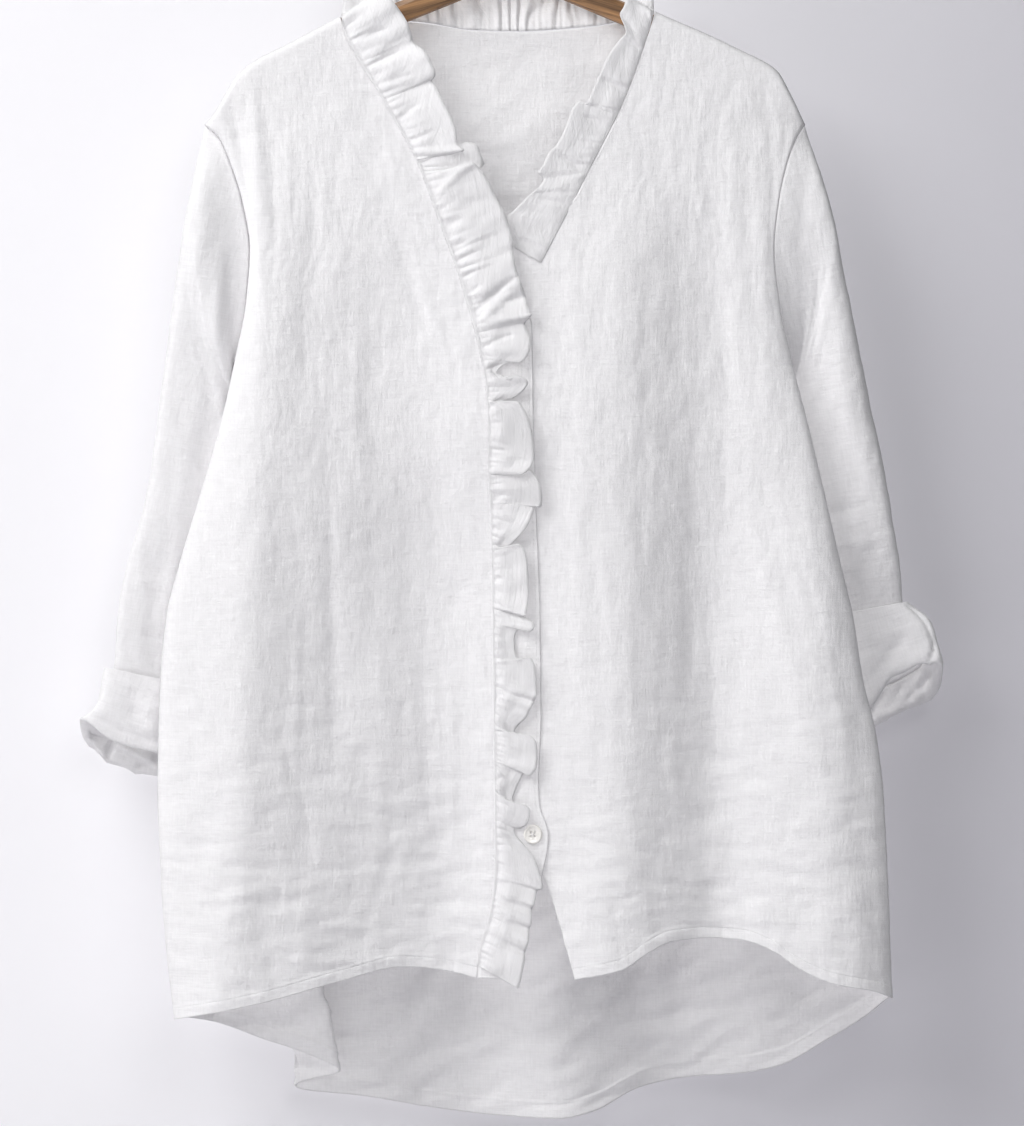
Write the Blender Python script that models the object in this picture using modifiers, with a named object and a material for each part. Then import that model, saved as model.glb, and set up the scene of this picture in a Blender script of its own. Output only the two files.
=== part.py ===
"""A linen tunic top with gathered frills, hanging on a plain wooden hanger.

The front faces -Y, the wearer's right side is at -X and +Z is up. The origin is the inside of the hook's bend,
where the hanger hangs on its rail. Lengths are millimetres, and a mesh turns them into metres. A drop is a
distance below the origin. A panel is a smooth patch between its four edges, laid on the garment's depth, with
its folds added, and Solidify gives it the cloth's wall.
"""

import math
from collections import namedtuple

import bpy
import numpy as np
from mathutils import Vector

MM = 0.001
WALL = 1.2  # cloth, as thick as a doubled and stitched linen edge
SEAM_GAP = 0.3
LAP = WALL + SEAM_GAP  # from the middle of one wall to the middle of the one that lies on it
FRILL_START = -0.9  # a V frill's first point stays this far off its front's edge
SEAM_DEPTH = LAP / 2  # how far each panel's edge stands from the seam's own plane

BULGE_POWER = 3.0  # how squarely the body's section turns at its sides
SHOULDER_ROUND, SHOULDER_POWER = 6.0, 3.0  # how the cloth turns over the hanger's arm
BAND_LIFT = LAP + 0.6  # the band and the right front's edge over the left front

ARMHOLE_TOP, ARMHOLE_END = 206.2, 385.0  # drops of the shoulder tip and the underarm
ARMHOLE_DEPTH = 11.0  # half the armhole's opening, front to back
HEM_RIGHT, HEM_LEFT = 875.3, 859.5  # drops of the hem at the two side seams
NECK_RIGHT, NECK_LEFT = (-130.5, 125.3), (105.8, 121.5)  # where the shoulder seams meet the neck
FRONT_HEM_DROP = 844.8  # the hem at the front edges

BUTTONS = 7
BUTTON_X, LOWEST_BUTTON, BUTTON_SPACING = 3.0, 737.0, 60.0
LOWEST_BUTTON_X = 15.0  # it has slid along its buttonhole, where the fronts begin to part
BUTTON_RADIUS, BUTTON_THICK, BUTTON_RIM = 7.3, 2.8, 0.7

HANGER_TOP = 78.0  # drop of the top of the wood at the middle
HANGER_ENDS = (-181.0, 170.5)  # where its two round ends begin
HANGER_RESTS = (-178.0, 168.0)  # where the shoulders rest on it
HANGER_HEIGHT, HANGER_THICK = 18.5, 9.0
HANGER_ROUND, HANGER_ARCH, HANGER_SEAT = 4.0, 26.0, 1.7  # edge radius, crown's half width, drop below the cloth
HOOK_RADIUS, HOOK_WIRE = 21.8, 3.6  # to the middle of the wire, and the wire's diameter

# The body, by drop: the two side edges, and how far the front and the back stand from the side seams.
Body = namedtuple("Body", "drop right left front back")
BODY = [
    Body(110.0, -290.0, 276.0, 9.5, 9.0),
    Body(165.0, -257.0, 243.0, 12.0, 10.5),
    Body(206.2, -231.8, 218.0, 15.0, 11.5),
    Body(216.0, -221.0, 212.0, 15.8, 11.7),
    Body(232.0, -213.5, 205.5, 17.2, 12.0),
    Body(265.0, -203.0, 198.0, 20.5, 12.6),
    Body(300.0, -197.5, 194.5, 24.0, 13.2),
    Body(340.0, -200.5, 198.5, 27.5, 13.8),
    Body(385.0, -209.5, 208.5, 30.5, 14.5),
    Body(430.0, -219.5, 220.0, 33.0, 15.5),
    Body(480.0, -234.0, 232.0, 35.0, 16.5),
    Body(535.0, -250.5, 244.5, 37.5, 18.0),
    Body(575.0, -260.5, 254.0, 39.5, 19.0),
    Body(620.0, -264.8, 261.0, 42.0, 21.0),
    Body(665.0, -266.3, 271.5, 44.0, 23.5),
    Body(705.0, -267.0, 276.5, 46.0, 26.5),
    Body(760.0, -265.0, 279.5, 49.0, 32.0),
    Body(820.0, -261.0, 281.5, 52.0, 38.0),
    Body(875.3, -254.3, 283.0, 54.0, 43.0),
    Body(952.0, -240.0, 283.0, 56.0, 48.0),
]

# The line of the shoulder seams, by x, carried on to the middle where the neck cuts it away.
Line = namedtuple("Line", "x drop")
SHOULDER = [
    Line(-231.8, 206.2),
    Line(-225.0, 198.5),
    Line(-217.5, 185.5),
    Line(-209.0, 171.5),
    Line(-203.0, 165.0),
    Line(-194.0, 158.3),
    Line(-169.5, 145.8),
    Line(-130.5, 125.3),
    Line(0.0, 66.0),
    Line(105.8, 121.5),
    Line(147.8, 139.9),
    Line(172.5, 151.8),
    Line(186.0, 158.3),
    Line(197.0, 165.8),
    Line(207.0, 183.0),
    Line(218.0, 206.2),
]
BACK_NECK = [
    Line(-130.5, 125.3),
    Line(-110.0, 126.5),
    Line(-67.5, 129.5),
    Line(-31.5, 135.0),
    Line(4.0, 136.0),
    Line(39.0, 134.0),
    Line(74.0, 130.0),
    Line(95.0, 124.5),
    Line(105.8, 121.5),
]
HEM_FRONT_RIGHT = [
    Line(-254.3, 875.3),
    Line(-189.0, 862.4),
    Line(-131.0, 846.9),
    Line(-84.0, 836.4),
    Line(-54.8, 838.8),
    Line(-27.8, 844.8),
]
HEM_FRONT_LEFT = [
    Line(45.8, 844.8),
    Line(79.5, 837.8),
    Line(102.0, 823.7),
    Line(117.8, 816.5),
    Line(146.3, 814.1),
    Line(170.3, 815.7),
    Line(194.3, 824.1),
    Line(210.8, 835.5),
    Line(237.0, 847.3),
    Line(270.8, 854.1),
    Line(283.0, 859.5),
]
HEM_BACK = [
    Line(-254.3, 875.3),
    Line(-224.0, 881.0),
    Line(-190.5, 897.8),
    Line(-169.5, 914.2),
    Line(-148.5, 923.5),
    Line(-127.5, 932.2),
    Line(-106.5, 936.9),
    Line(-70.5, 945.5),
    Line(-10.5, 952.6),
    Line(34.5, 954.1),
    Line(60.8, 948.6),
    Line(94.5, 931.4),
    Line(132.0, 923.8),
    Line(169.5, 920.6),
    Line(199.5, 914.7),
    Line(237.0, 893.9),
    Line(267.0, 874.4),
    Line(283.0, 859.5),
]

# The edges that run down the front, by drop.
Edge = namedtuple("Edge", "drop x")
FRILL_SEAM_RIGHT = [
    Edge(125.3, -130.5),
    Edge(141.8, -123.8),
    Edge(183.0, -99.8),
    Edge(236.3, -70.5),
    Edge(271.5, -57.5),
    Edge(321.0, -39.5),
    Edge(372.8, -24.8),
    Edge(393.0, -20.3),
    Edge(421.5, -18.0),
    Edge(465.0, -17.5),
    Edge(510.0, -15.2),
    Edge(617.0, -13.8),
    Edge(755.3, -12.3),
    Edge(777.8, -13.5),
    Edge(795.0, -16.0),
    Edge(823.5, -24.5),
    Edge(847.0, -27.8),
]
EDGE_FRONT_LEFT = [
    Edge(121.5, 105.8),
    Edge(144.0, 99.0),
    Edge(190.5, 81.8),
    Edge(240.0, 57.0),
    Edge(309.8, 21.0),
    Edge(337.5, 4.5),
    Edge(367.5, -3.5),
    Edge(427.5, -5.3),
    Edge(682.5, -5.3),
    Edge(720.0, -2.5),
    Edge(746.3, 6.0),
    Edge(771.0, 23.3),
    Edge(804.0, 34.0),
    Edge(837.8, 43.5),
    Edge(847.0, 45.8),
]
EDGE_BAND = [
    Edge(326.0, 0.8),
    Edge(340.0, 8.0),
    Edge(358.5, 13.5),
    Edge(421.5, 14.5),
    Edge(502.5, 17.0),
    Edge(574.5, 19.5),
    Edge(645.8, 20.3),
    Edge(703.5, 18.5),
    Edge(716.0, 19.5),
    Edge(738.0, 26.0),
    Edge(764.3, 21.8),
    Edge(795.0, 12.0),
    Edge(836.0, 4.0),
    Edge(847.0, 1.0),
]

# Soft folds: where a fold runs from and to, half its width, and how far it stands out (or in, below zero).
Fold = namedtuple("Fold", "x_top drop_top x_end drop_end half rise")
FRONT_FOLDS = [
    Fold(-190, 190, -206, 470, 12, 3.5),
    Fold(-161, 205, -155, 700, 17, -5.0),
    Fold(-155, 630, -186, 840, 18, -4.0),
    Fold(-108, 300, -110, 780, 24, 3.0),
    Fold(-97, 225, -63, 345, 10, -2.0),
    Fold(-66, 500, -68, 740, 14, -3.0),
    Fold(-85, 740, -112, 815, 12, -2.5),
    Fold(46, 300, 48, 800, 18, 3.5),
    Fold(111, 205, 106, 790, 24, -7.0),
    Fold(163, 215, 171, 540, 20, 4.0),
    Fold(172, 490, 207, 680, 22, 4.0),
    Fold(245, 620, 247, 840, 18, 3.0),
]
BACK_FOLDS = [
    Fold(-120, 230, -100, 860, 26, -6.0),
    Fold(-35, 260, -30, 900, 28, 5.0),
    Fold(52, 240, 60, 900, 24, -5.5),
    Fold(128, 260, 150, 880, 26, 5.0),
]
FOLD_FADE = 70.0  # length over which a fold comes and goes

# The deep fold near the right corner of the back, where the hem doubles back on itself.
PLEAT_MIDDLE, PLEAT_HALF = 0.197, 0.039  # shares of the back's width
PLEAT_SHIFT, PLEAT_LAYER = 35.0, 5.0  # how far the cloth is pushed sideways, and apart
PLEAT_FROM = 0.72  # share of the back's length where it starts

# A sleeve by its rings: the outer and inner ends of each flattened ring, its half depth, and how much
# lower the back of the ring hangs than its middle.
Ring = namedtuple("Ring", "outer_x outer_drop outer_y inner_x inner_drop inner_y depth dip")
SLEEVE_RIGHT = [
    Ring(-242.0, 254.0, 3.0, -219.0, 402.0, 15.0, 12.0, 0),
    Ring(-253.5, 327.0, 8.0, -200.0, 445.0, 31.0, 14.0, 0),
    Ring(-263.0, 400.0, 13.0, -176.0, 484.0, 39.0, 15.5, 0),
    Ring(-280.5, 502.5, 17.0, -178.0, 548.0, 43.0, 16.0, 0),
    Ring(-290.0, 533.0, 19.0, -182.0, 574.0, 44.0, 16.0, 0),
    Ring(-298.0, 581.0, 21.0, -187.0, 612.0, 46.0, 15.5, 1.0),
    Ring(-300.5, 613.0, 23.0, -191.0, 643.0, 48.0, 14.5, 2.0),
]
SLEEVE_LEFT = [
    Ring(234.0, 258.0, 3.0, 218.0, 402.0, 15.0, 12.0, 0),
    Ring(249.0, 327.0, 8.0, 200.0, 442.0, 31.0, 14.0, 0),
    Ring(262.0, 390.0, 13.0, 178.0, 476.0, 39.0, 15.5, 0),
    Ring(277.5, 465.0, 17.0, 176.0, 522.0, 43.0, 16.0, 0),
    Ring(285.5, 510.0, 19.0, 181.0, 546.0, 44.0, 16.0, 0),
    Ring(290.0, 540.0, 21.0, 186.0, 566.0, 46.0, 15.5, 1.0),
    Ring(292.0, 564.0, 23.0, 190.0, 587.0, 48.0, 14.5, 2.0),
]
CUFF_RIGHT = [
    Ring(-307.5, 615.0, 24.0, -187.0, 641.0, 49.0, 19.0, 2.0),
    Ring(-312.0, 637.0, 24.0, -193.0, 672.0, 49.0, 20.5, 4.5),
    Ring(-321.0, 649.0, 24.0, -198.0, 699.0, 49.0, 20.0, 7.0),
    Ring(-326.0, 656.5, 24.0, -202.0, 713.0, 49.0, 17.5, 9.0),
    Ring(-323.0, 656.0, 24.5, -206.0, 711.0, 49.0, 14.5, 9.0),
    Ring(-312.0, 643.0, 24.5, -205.0, 691.0, 49.0, 12.8, 6.5),
]
CUFF_LEFT = [
    Ring(295.5, 565.5, 24.0, 186.0, 586.0, 49.0, 19.0, 2.0),
    Ring(310.0, 577.5, 24.0, 190.0, 614.0, 49.0, 20.5, 5.0),
    Ring(318.0, 597.0, 24.0, 197.0, 650.0, 49.0, 21.0, 9.0),
    Ring(319.5, 621.0, 24.0, 203.0, 680.0, 49.0, 17.5, 13.0),
    Ring(316.0, 619.5, 24.5, 208.0, 678.0, 49.0, 14.5, 13.0),
    Ring(308.0, 606.0, 24.5, 206.0, 656.0, 49.0, 12.8, 9.5),
]

# Frills by the folds of their free edge: the drop of the seam, how far the edge reaches across, how far it
# stands forward of the cloth behind, and how far it is lifted above its seam.
Frill = namedtuple("Frill", "drop reach lift rise")
FRILL_RIGHT = [
    Frill(125.3, 4, 5, 44),
    Frill(132.0, 30, 5, 34),
    Frill(139.5, 45, 8, 22),
    Frill(150.0, 49, 3, 12),
    Frill(159.0, 50, 7, 6),
    Frill(172.5, 46, 2, 2),
    Frill(187.5, 44, 8, 0),
    Frill(208.6, 42, 3, 0),
    Frill(220.7, 48, 10, -1),
    Frill(232.9, 50, 11, 0),
    Frill(240.5, 46, 2, 2),
    Frill(260.1, 48.5, 8, 0),
    Frill(287.3, 49, 6, 0),
    Frill(309.9, 45, 4, 0),
    Frill(327.0, 45, 9, 0),
    Frill(347.6, 43, 8, 0),
    Frill(365.1, 32, 1, 0),
    Frill(376.1, 34, 7, 0),
    Frill(388.1, 14, 1, 0),
    Frill(395.5, 31, 8, 0),
    Frill(407.5, 20, 1, 0),
    Frill(428.3, 30, 9, 0),
    Frill(446.7, 32.5, 11, 0),
    Frill(461.6, 32, 8, 0),
    Frill(469.5, 23, 1, 0),
    Frill(480.4, 34, 9, 0),
    Frill(487.9, 36, 10, 0),
    Frill(499.3, 28, 6, 0),
    Frill(523.6, 12, 1, 0),
    Frill(530.0, 22, 7, 0),
    Frill(550.9, 26, 10, 0),
    Frill(565.8, 25, 8, 0),
    Frill(574.7, 22, 1, 0),
    Frill(582.6, 27, 8, 0),
    Frill(594.5, 13, 1, 0),
    Frill(604.5, 24, 7, 0),
    Frill(612.9, 20, 2, 0),
    Frill(625.3, 30, 10, 0),
    Frill(639.7, 28, 8, 0),
    Frill(645.6, 19, 1, 0),
    Frill(651.1, 24, 6, 0),
    Frill(659.0, 13, 1, 0),
    Frill(668.0, 27, 7, 0),
    Frill(678.9, 29.5, 10, 0),
    Frill(690.3, 28, 7, 0),
    Frill(699.7, 16, 1, 0),
    Frill(711.1, 12, 1, 0),
    Frill(722.5, 24, 8, 0),
    Frill(732.5, 12, 1, 0),
    Frill(742.4, 16, 5, 0),
    Frill(755.8, 28, 9, 0),
    Frill(770.7, 34, 9, 0),
    Frill(778.1, 32, 2, 0),
    Frill(789.0, 30, 8, 0),
    Frill(799.0, 30, 2, 0),
    Frill(807.9, 33, 8, 0),
    Frill(816.8, 33, 2, 0),
    Frill(826.7, 34, 8, 0),
    Frill(836.2, 34, 3, -3),
    Frill(844.8, 31, 6, -8),
]
FRILL_LEFT = [
    Frill(121.5, 2, 4, 44),
    Frill(127.5, 18, 5, 30),
    Frill(135.0, 20, 7, 14),
    Frill(144.0, 19, 2, 6),
    Frill(154.0, 23, 8, 3),
    Frill(165.0, 24, 2, 0),
    Frill(176.0, 27, 8, 0),
    Frill(187.0, 29, 2, 0),
    Frill(197.0, 36, 9, 0),
    Frill(208.5, 32, 2, 0),
    Frill(222.0, 34, 8, 0),
    Frill(232.5, 33, 2, 0),
    Frill(244.0, 37, 8, 0),
    Frill(256.5, 36, 2, 0),
    Frill(270.0, 42, 6, -3),
    Frill(281.0, 38, 2, 0),
    Frill(292.5, 32, 2, 4),
    Frill(309.0, 20, 1, 11),
]
BACK_FRILL_WAVES, BACK_FRILL_HEIGHT, BACK_FRILL_WAVE, BACK_FRILL_LEAN = 24, 42.0, 2.6, 7.0


def read(table, column, at):
    """A smooth curve through one column of a table that never overshoots its rows, read at first-column values."""
    keys = np.array([row[0] for row in table], float)
    values = np.array([getattr(row, column) for row in table], float)
    step = np.diff(keys)
    rise = np.diff(values) / step
    slopes = np.zeros(len(keys))
    slopes[0], slopes[-1] = rise[0], rise[-1]
    turning = rise[:-1] * rise[1:] <= 0
    safe = np.where(turning[:, None], 1.0, np.stack([rise[:-1], rise[1:]], 1))
    before, after = 2 * step[1:] + step[:-1], step[1:] + 2 * step[:-1]
    slopes[1:-1] = np.where(turning, 0.0, (before + after) / (before / safe[:, 0] + after / safe[:, 1]))
    at = np.clip(np.asarray(at, float), keys[0], keys[-1])
    i = np.clip(np.searchsorted(keys, at) - 1, 0, len(keys) - 2)
    t = (at - keys[i]) / step[i]
    start = (1 + 2 * t) * (1 - t) ** 2 * values[i] + t * (1 - t) ** 2 * step[i] * slopes[i]
    return start + t * t * (3 - 2 * t) * values[i + 1] + t * t * (t - 1) * step[i] * slopes[i + 1]


def ease(t):
    """From 0 to 1 with level ends."""
    t = np.clip(t, 0.0, 1.0)
    return t * t * (3 - 2 * t)


def folds(table, x, drop):
    """How far the soft folds stand out at a place."""
    out = np.zeros(np.broadcast(x, drop).shape)
    for fold in table:
        along = (drop - fold.drop_top) / (fold.drop_end - fold.drop_top)
        middle = fold.x_top + (fold.x_end - fold.x_top) * along
        fade = ease((drop - fold.drop_top) / FOLD_FADE) * ease((fold.drop_end - drop) / FOLD_FADE)
        out = out + fold.rise * fade * np.exp(-(((x - middle) / fold.half) ** 2))
    return out


def armhole_depth(drop):
    """Half the opening between the front and the back at the side edge, which is the seam below the underarm."""
    share = np.clip((drop - ARMHOLE_TOP) / (ARMHOLE_END - ARMHOLE_TOP), 0.0, 1.0)
    return SEAM_DEPTH + ARMHOLE_DEPTH * (1 - np.abs(2 * share - 1) ** 2.5) ** 0.4


def body_depth(x, drop, side):
    """How far the front or the back stands from the plane of the side seams."""
    right, left = read(BODY, "right", drop), read(BODY, "left", drop)
    across = np.clip((x - (right + left) / 2) / ((left - right) / 2), -1.0, 1.0)
    bulge = (1 - np.abs(across) ** BULGE_POWER) ** (1 / BULGE_POWER)
    below = np.clip((drop - read(SHOULDER, "drop", x)) / SHOULDER_ROUND, 0.0, 1.0)
    over_arm = (1 - (1 - below) ** SHOULDER_POWER) ** (1 / SHOULDER_POWER)
    soft = folds(FRONT_FOLDS if side == "front" else BACK_FOLDS, x, drop)
    edge = armhole_depth(drop)
    depth = edge + (over_arm * read(BODY, side, drop) - edge + soft) * bulge
    return np.maximum(depth, SEAM_DEPTH)


def patch(u, v, top, bottom, first, last):
    """A grid between four edges that meet at their ends: x and drop of each of its points."""
    u, v = np.asarray(u)[None, :, None], np.asarray(v)[:, None, None]
    across = (1 - v) * top[None] + v * bottom[None]
    down = (1 - u) * first[:, None] + u * last[:, None]
    corners = (1 - v) * ((1 - u) * top[0] + u * top[-1]) + v * ((1 - u) * bottom[0] + u * bottom[-1])
    grid = across + down - corners
    return grid[..., 0], grid[..., 1]


def line_points(table, start, end, shares):
    """Points of a line that is given by x."""
    x = start + (end - start) * np.asarray(shares)
    return np.stack([x, read(table, "drop", x)], -1)


def edge_points(table, column, start, end, shares):
    """Points of an edge that is given by drop."""
    drop = start + (end - start) * np.asarray(shares)
    return np.stack([read(table, column, drop), drop], -1)


def spread(*rows):
    """Shares from 0 to 1, with as many even steps up to each share as its row says."""
    shares, at = [0.0], 0.0
    for end, count in rows:
        shares += [at + (end - at) * (i + 1) / count for i in range(count)]
        at = end
    return np.array(shares)


DOWN = spread((0.0015, 1), (0.004, 1), (0.009, 1), (0.03, 1), (0.3, 6), (1.0, 12))


def material(name, colour, roughness, metallic=0.0):
    made = bpy.data.materials.new(name)
    made.use_nodes = True
    shader = made.node_tree.nodes["Principled BSDF"]
    shader.inputs["Base Color"].default_value = (*colour, 1.0)
    shader.inputs["Roughness"].default_value = roughness
    shader.inputs["Metallic"].default_value = metallic
    made.diffuse_color = (*colour, 1.0)
    return made


def place(name, mesh, finish):
    mesh.materials.append(finish)
    obj = bpy.data.objects.new(name, mesh)
    PARTS.objects.link(obj)
    return obj


def cloth(name, grid, closed=False):
    """A wall of cloth on a grid of points, rows by columns. A closed grid is a tube round its columns."""
    rows, columns = grid.shape[:2]
    mesh = bpy.data.meshes.new(name)
    turns = columns if closed else columns - 1
    faces = []
    for r in range(rows - 1):
        for c in range(turns):
            d = (c + 1) % columns
            faces.append((r * columns + c, r * columns + d, (r + 1) * columns + d, (r + 1) * columns + c))
    mesh.from_pydata((grid.reshape(-1, 3) * MM).tolist(), [], faces)
    obj = place(name, mesh, LINEN)
    wall = obj.modifiers.new("Wall", "SOLIDIFY")
    wall.thickness = WALL * MM
    wall.offset = 0.0
    mesh.shade_smooth()
    return obj


def to_grid(x, y, drop):
    return np.stack(np.broadcast_arrays(x, y, -np.asarray(drop)), -1)


def front_right():
    across = spread((0.012, 1), (0.04, 1), (0.08, 1), (1.0, 12))
    x, drop = patch(
        across,
        DOWN,
        line_points(SHOULDER, BODY[2].right, NECK_RIGHT[0], across),
        line_points(HEM_FRONT_RIGHT, HEM_FRONT_RIGHT[0].x, HEM_FRONT_RIGHT[-1].x, across),
        edge_points(BODY, "right", ARMHOLE_TOP, HEM_RIGHT, DOWN),
        edge_points(FRILL_SEAM_RIGHT, "x", NECK_RIGHT[1], FRONT_HEM_DROP, DOWN),
    )
    return cloth("front_right", to_grid(x, -body_depth(x, drop, "front") - step_up(x, drop), drop))


def step_up(x, drop):
    """The right front rises over the left one as it nears its edge, where the band carries it on."""
    reach = 45.0
    near_edge = ease(1 + (x - read(FRILL_SEAM_RIGHT, "x", drop)) / reach)
    return BAND_LIFT * near_edge * ease((drop - ARMHOLE_TOP) / reach)


def front_left():
    across = 1 - spread((0.012, 1), (0.04, 1), (0.08, 1), (1.0, 12))[::-1]
    x, drop = patch(
        across,
        DOWN,
        line_points(SHOULDER, NECK_LEFT[0], BODY[2].left, across),
        line_points(HEM_FRONT_LEFT, HEM_FRONT_LEFT[0].x, HEM_FRONT_LEFT[-1].x, across),
        edge_points(EDGE_FRONT_LEFT, "x", NECK_LEFT[1], FRONT_HEM_DROP, DOWN),
        edge_points(BODY, "left", ARMHOLE_TOP, HEM_LEFT, DOWN),
    )
    return cloth("front_left", to_grid(x, -body_depth(x, drop, "front"), drop))


def back_top(shares):
    """The back's upper edge: one shoulder, the neck and the other shoulder."""
    x = BODY[2].right + (BODY[2].left - BODY[2].right) * np.asarray(shares)
    in_neck = (x > NECK_RIGHT[0]) & (x < NECK_LEFT[0])
    drop = np.where(in_neck, read(BACK_NECK, "drop", x), read(SHOULDER, "drop", x))
    return np.stack([x, drop], -1)


def pleat(u, v):
    """How far the deep fold pushes the cloth sideways, from nothing at its start to all of it at the hem."""
    from_middle = (u - PLEAT_MIDDLE) / PLEAT_HALF
    push = -from_middle * np.exp(0.5 - from_middle**2 / 2)
    return push * ease((v - PLEAT_FROM) / (1 - PLEAT_FROM))


def back():
    fold_start, fold_end = PLEAT_MIDDLE - 3 * PLEAT_HALF, PLEAT_MIDDLE + 3 * PLEAT_HALF
    across = spread((0.012, 1), (0.04, 1), (fold_start, 1), (fold_end, 14), (0.96, 16), (0.988, 1), (1.0, 1))
    x, drop = patch(
        across,
        DOWN,
        back_top(across),
        line_points(HEM_BACK, HEM_BACK[0].x, HEM_BACK[-1].x, across),
        edge_points(BODY, "right", ARMHOLE_TOP, HEM_RIGHT, DOWN),
        edge_points(BODY, "left", ARMHOLE_TOP, HEM_LEFT, DOWN),
    )
    push = pleat(across[None, :], DOWN[:, None])
    y = body_depth(x, drop, "back") - PLEAT_LAYER * push
    return cloth("back", to_grid(x + PLEAT_SHIFT * push, y, drop))


def ring_points(ring, count):
    """One flattened ring of a sleeve, front first from its outer end."""
    angle = 2 * math.pi * np.arange(count) / count
    t = (1 - np.cos(angle)) / 2
    forward = np.sign(np.sin(angle)) * (1 - np.abs(np.cos(angle)) ** 2.5) ** 0.4
    x = ring.outer_x + (ring.inner_x - ring.outer_x) * t
    y = ring.outer_y + (ring.inner_y - ring.outer_y) * t - ring.depth * forward
    drop = ring.outer_drop + (ring.inner_drop - ring.outer_drop) * t - ring.dip * forward
    return to_grid(x, y, drop)


def armhole_ring(side, count):
    """The sleeve's first ring: it starts just inside the edge of the armhole."""
    inset = 1.8
    angle = 2 * math.pi * np.arange(count) / count
    t = (1 - np.cos(angle)) / 2
    drop = ARMHOLE_TOP + 1.4 + (ARMHOLE_END - ARMHOLE_TOP - 2.8) * t
    y = -np.sign(np.round(np.sin(angle), 6)) * (armhole_depth(drop) - inset)
    return to_grid(read(BODY, side, drop), y, drop)


def leave_armhole(first, second, outward):
    """The ring just outside the armhole, where the cloth has turned out of the seam."""
    count = len(first)
    angle = 2 * math.pi * np.arange(count) / count
    out = np.where(np.cos(angle) > 0, np.abs(np.sin(angle)), 1.0)
    ring = first + 0.15 * (second - first)
    ring[:, 0] += outward * 5.0 * out
    return ring


def sleeve(name, side, rings, turned_end, outward):
    """A tube from the armhole to the inner edge of the turned-back cuff, which it meets edge to edge."""
    count = 16
    loops = [armhole_ring(side, count)]
    rest = [ring_points(ring, count) for ring in rings]
    loops.append(leave_armhole(loops[0], rest[0], outward))
    loops += rest
    end = ring_points(turned_end, count)
    loops.append(end + 0.016 * (rest[-1] - end))
    if outward > 0:
        loops = [loop[::-1] for loop in loops]
    return cloth(name, np.stack(loops), closed=True)


def cuff(name, rings, outward):
    loops = [ring_points(ring, 16) for ring in rings]
    if outward > 0:
        loops = [loop[::-1] for loop in loops]
    return cloth(name, np.stack(loops), closed=True)


def band():
    """The buttonhole band carries the right front on from its seam, row by row."""
    across = spread((1.0, 3))
    drop = NECK_RIGHT[1] + (FRONT_HEM_DROP - NECK_RIGHT[1]) * DOWN[:, None]
    drop = drop[drop[:, 0] > EDGE_BAND[0].drop]
    seam = read(FRILL_SEAM_RIGHT, "x", drop) + SEAM_GAP
    x = seam + (read(EDGE_BAND, "x", drop) - seam) * across[None, :]
    drop = drop + 0 * x
    return cloth("band", to_grid(x, -body_depth(x, drop, "front") - BAND_LIFT, drop))


def over_buttons(drop, across):
    """The frill is lifted where it passes over a button."""
    lift = np.zeros(np.broadcast(drop, across).shape)
    for i in range(BUTTONS):
        from_button = (drop - (LOWEST_BUTTON - i * BUTTON_SPACING)) / BUTTON_RADIUS
        lift = lift + np.exp(-((from_button / 1.25) ** 4)) * ease(across / 0.25)
    return lift * (BUTTON_THICK + 4 * SEAM_GAP)


def frill(name, rows, seam, toward, behind, clears_buttons):
    """A gathered strip: sewn down along its seam, waved along its free edge."""
    steps = 2
    drops = [rows[0].drop]
    for before, after in zip(rows, rows[1:]):
        drops += [before.drop + (after.drop - before.drop) * (i + 1) / steps for i in range(steps)]
    drop = np.array(drops)[:, None]
    across = spread((1.0, 4))[None, :]
    from_shoulder = ease((drop - rows[0].drop) / 12.0)
    sewn_on = FRILL_START + (LAP - FRILL_START) * from_shoulder
    x = seam(drop) + toward * ((read(rows, "reach", drop) + sewn_on) * across - sewn_on)
    lift = read(rows, "lift", drop) * across**1.3
    if clears_buttons:
        lift = np.maximum(lift, over_buttons(drop, across))
    y = -body_depth(x, drop + 0 * x, "front") - behind - 2.0 * (1 - from_shoulder) - lift
    fall = drop - read(rows, "rise", drop) * across
    return cloth(name, to_grid(x, y, fall))


def frill_back():
    """The frill that stands along the back neck, in even gathers."""
    count = BACK_FRILL_WAVES * 5
    share = (np.arange(count + 1) / count)[None, :]
    up = spread((1.0, 3))[:, None]
    margin = 2.0
    x = NECK_RIGHT[0] + margin + (NECK_LEFT[0] - NECK_RIGHT[0] - 2 * margin) * share
    seam_drop = read(BACK_NECK, "drop", x)
    wave = np.sin(2 * math.pi * BACK_FRILL_WAVES * share) * ease(share * 20) * ease((1 - share) * 20)
    y = body_depth(x, seam_drop, "back") + BACK_FRILL_LEAN * up + BACK_FRILL_WAVE * wave * (0.25 + 0.75 * up)
    drop = seam_drop - LAP / 2 - BACK_FRILL_HEIGHT * up
    return cloth("frill_back", to_grid(x + 0 * up, y, drop))


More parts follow.
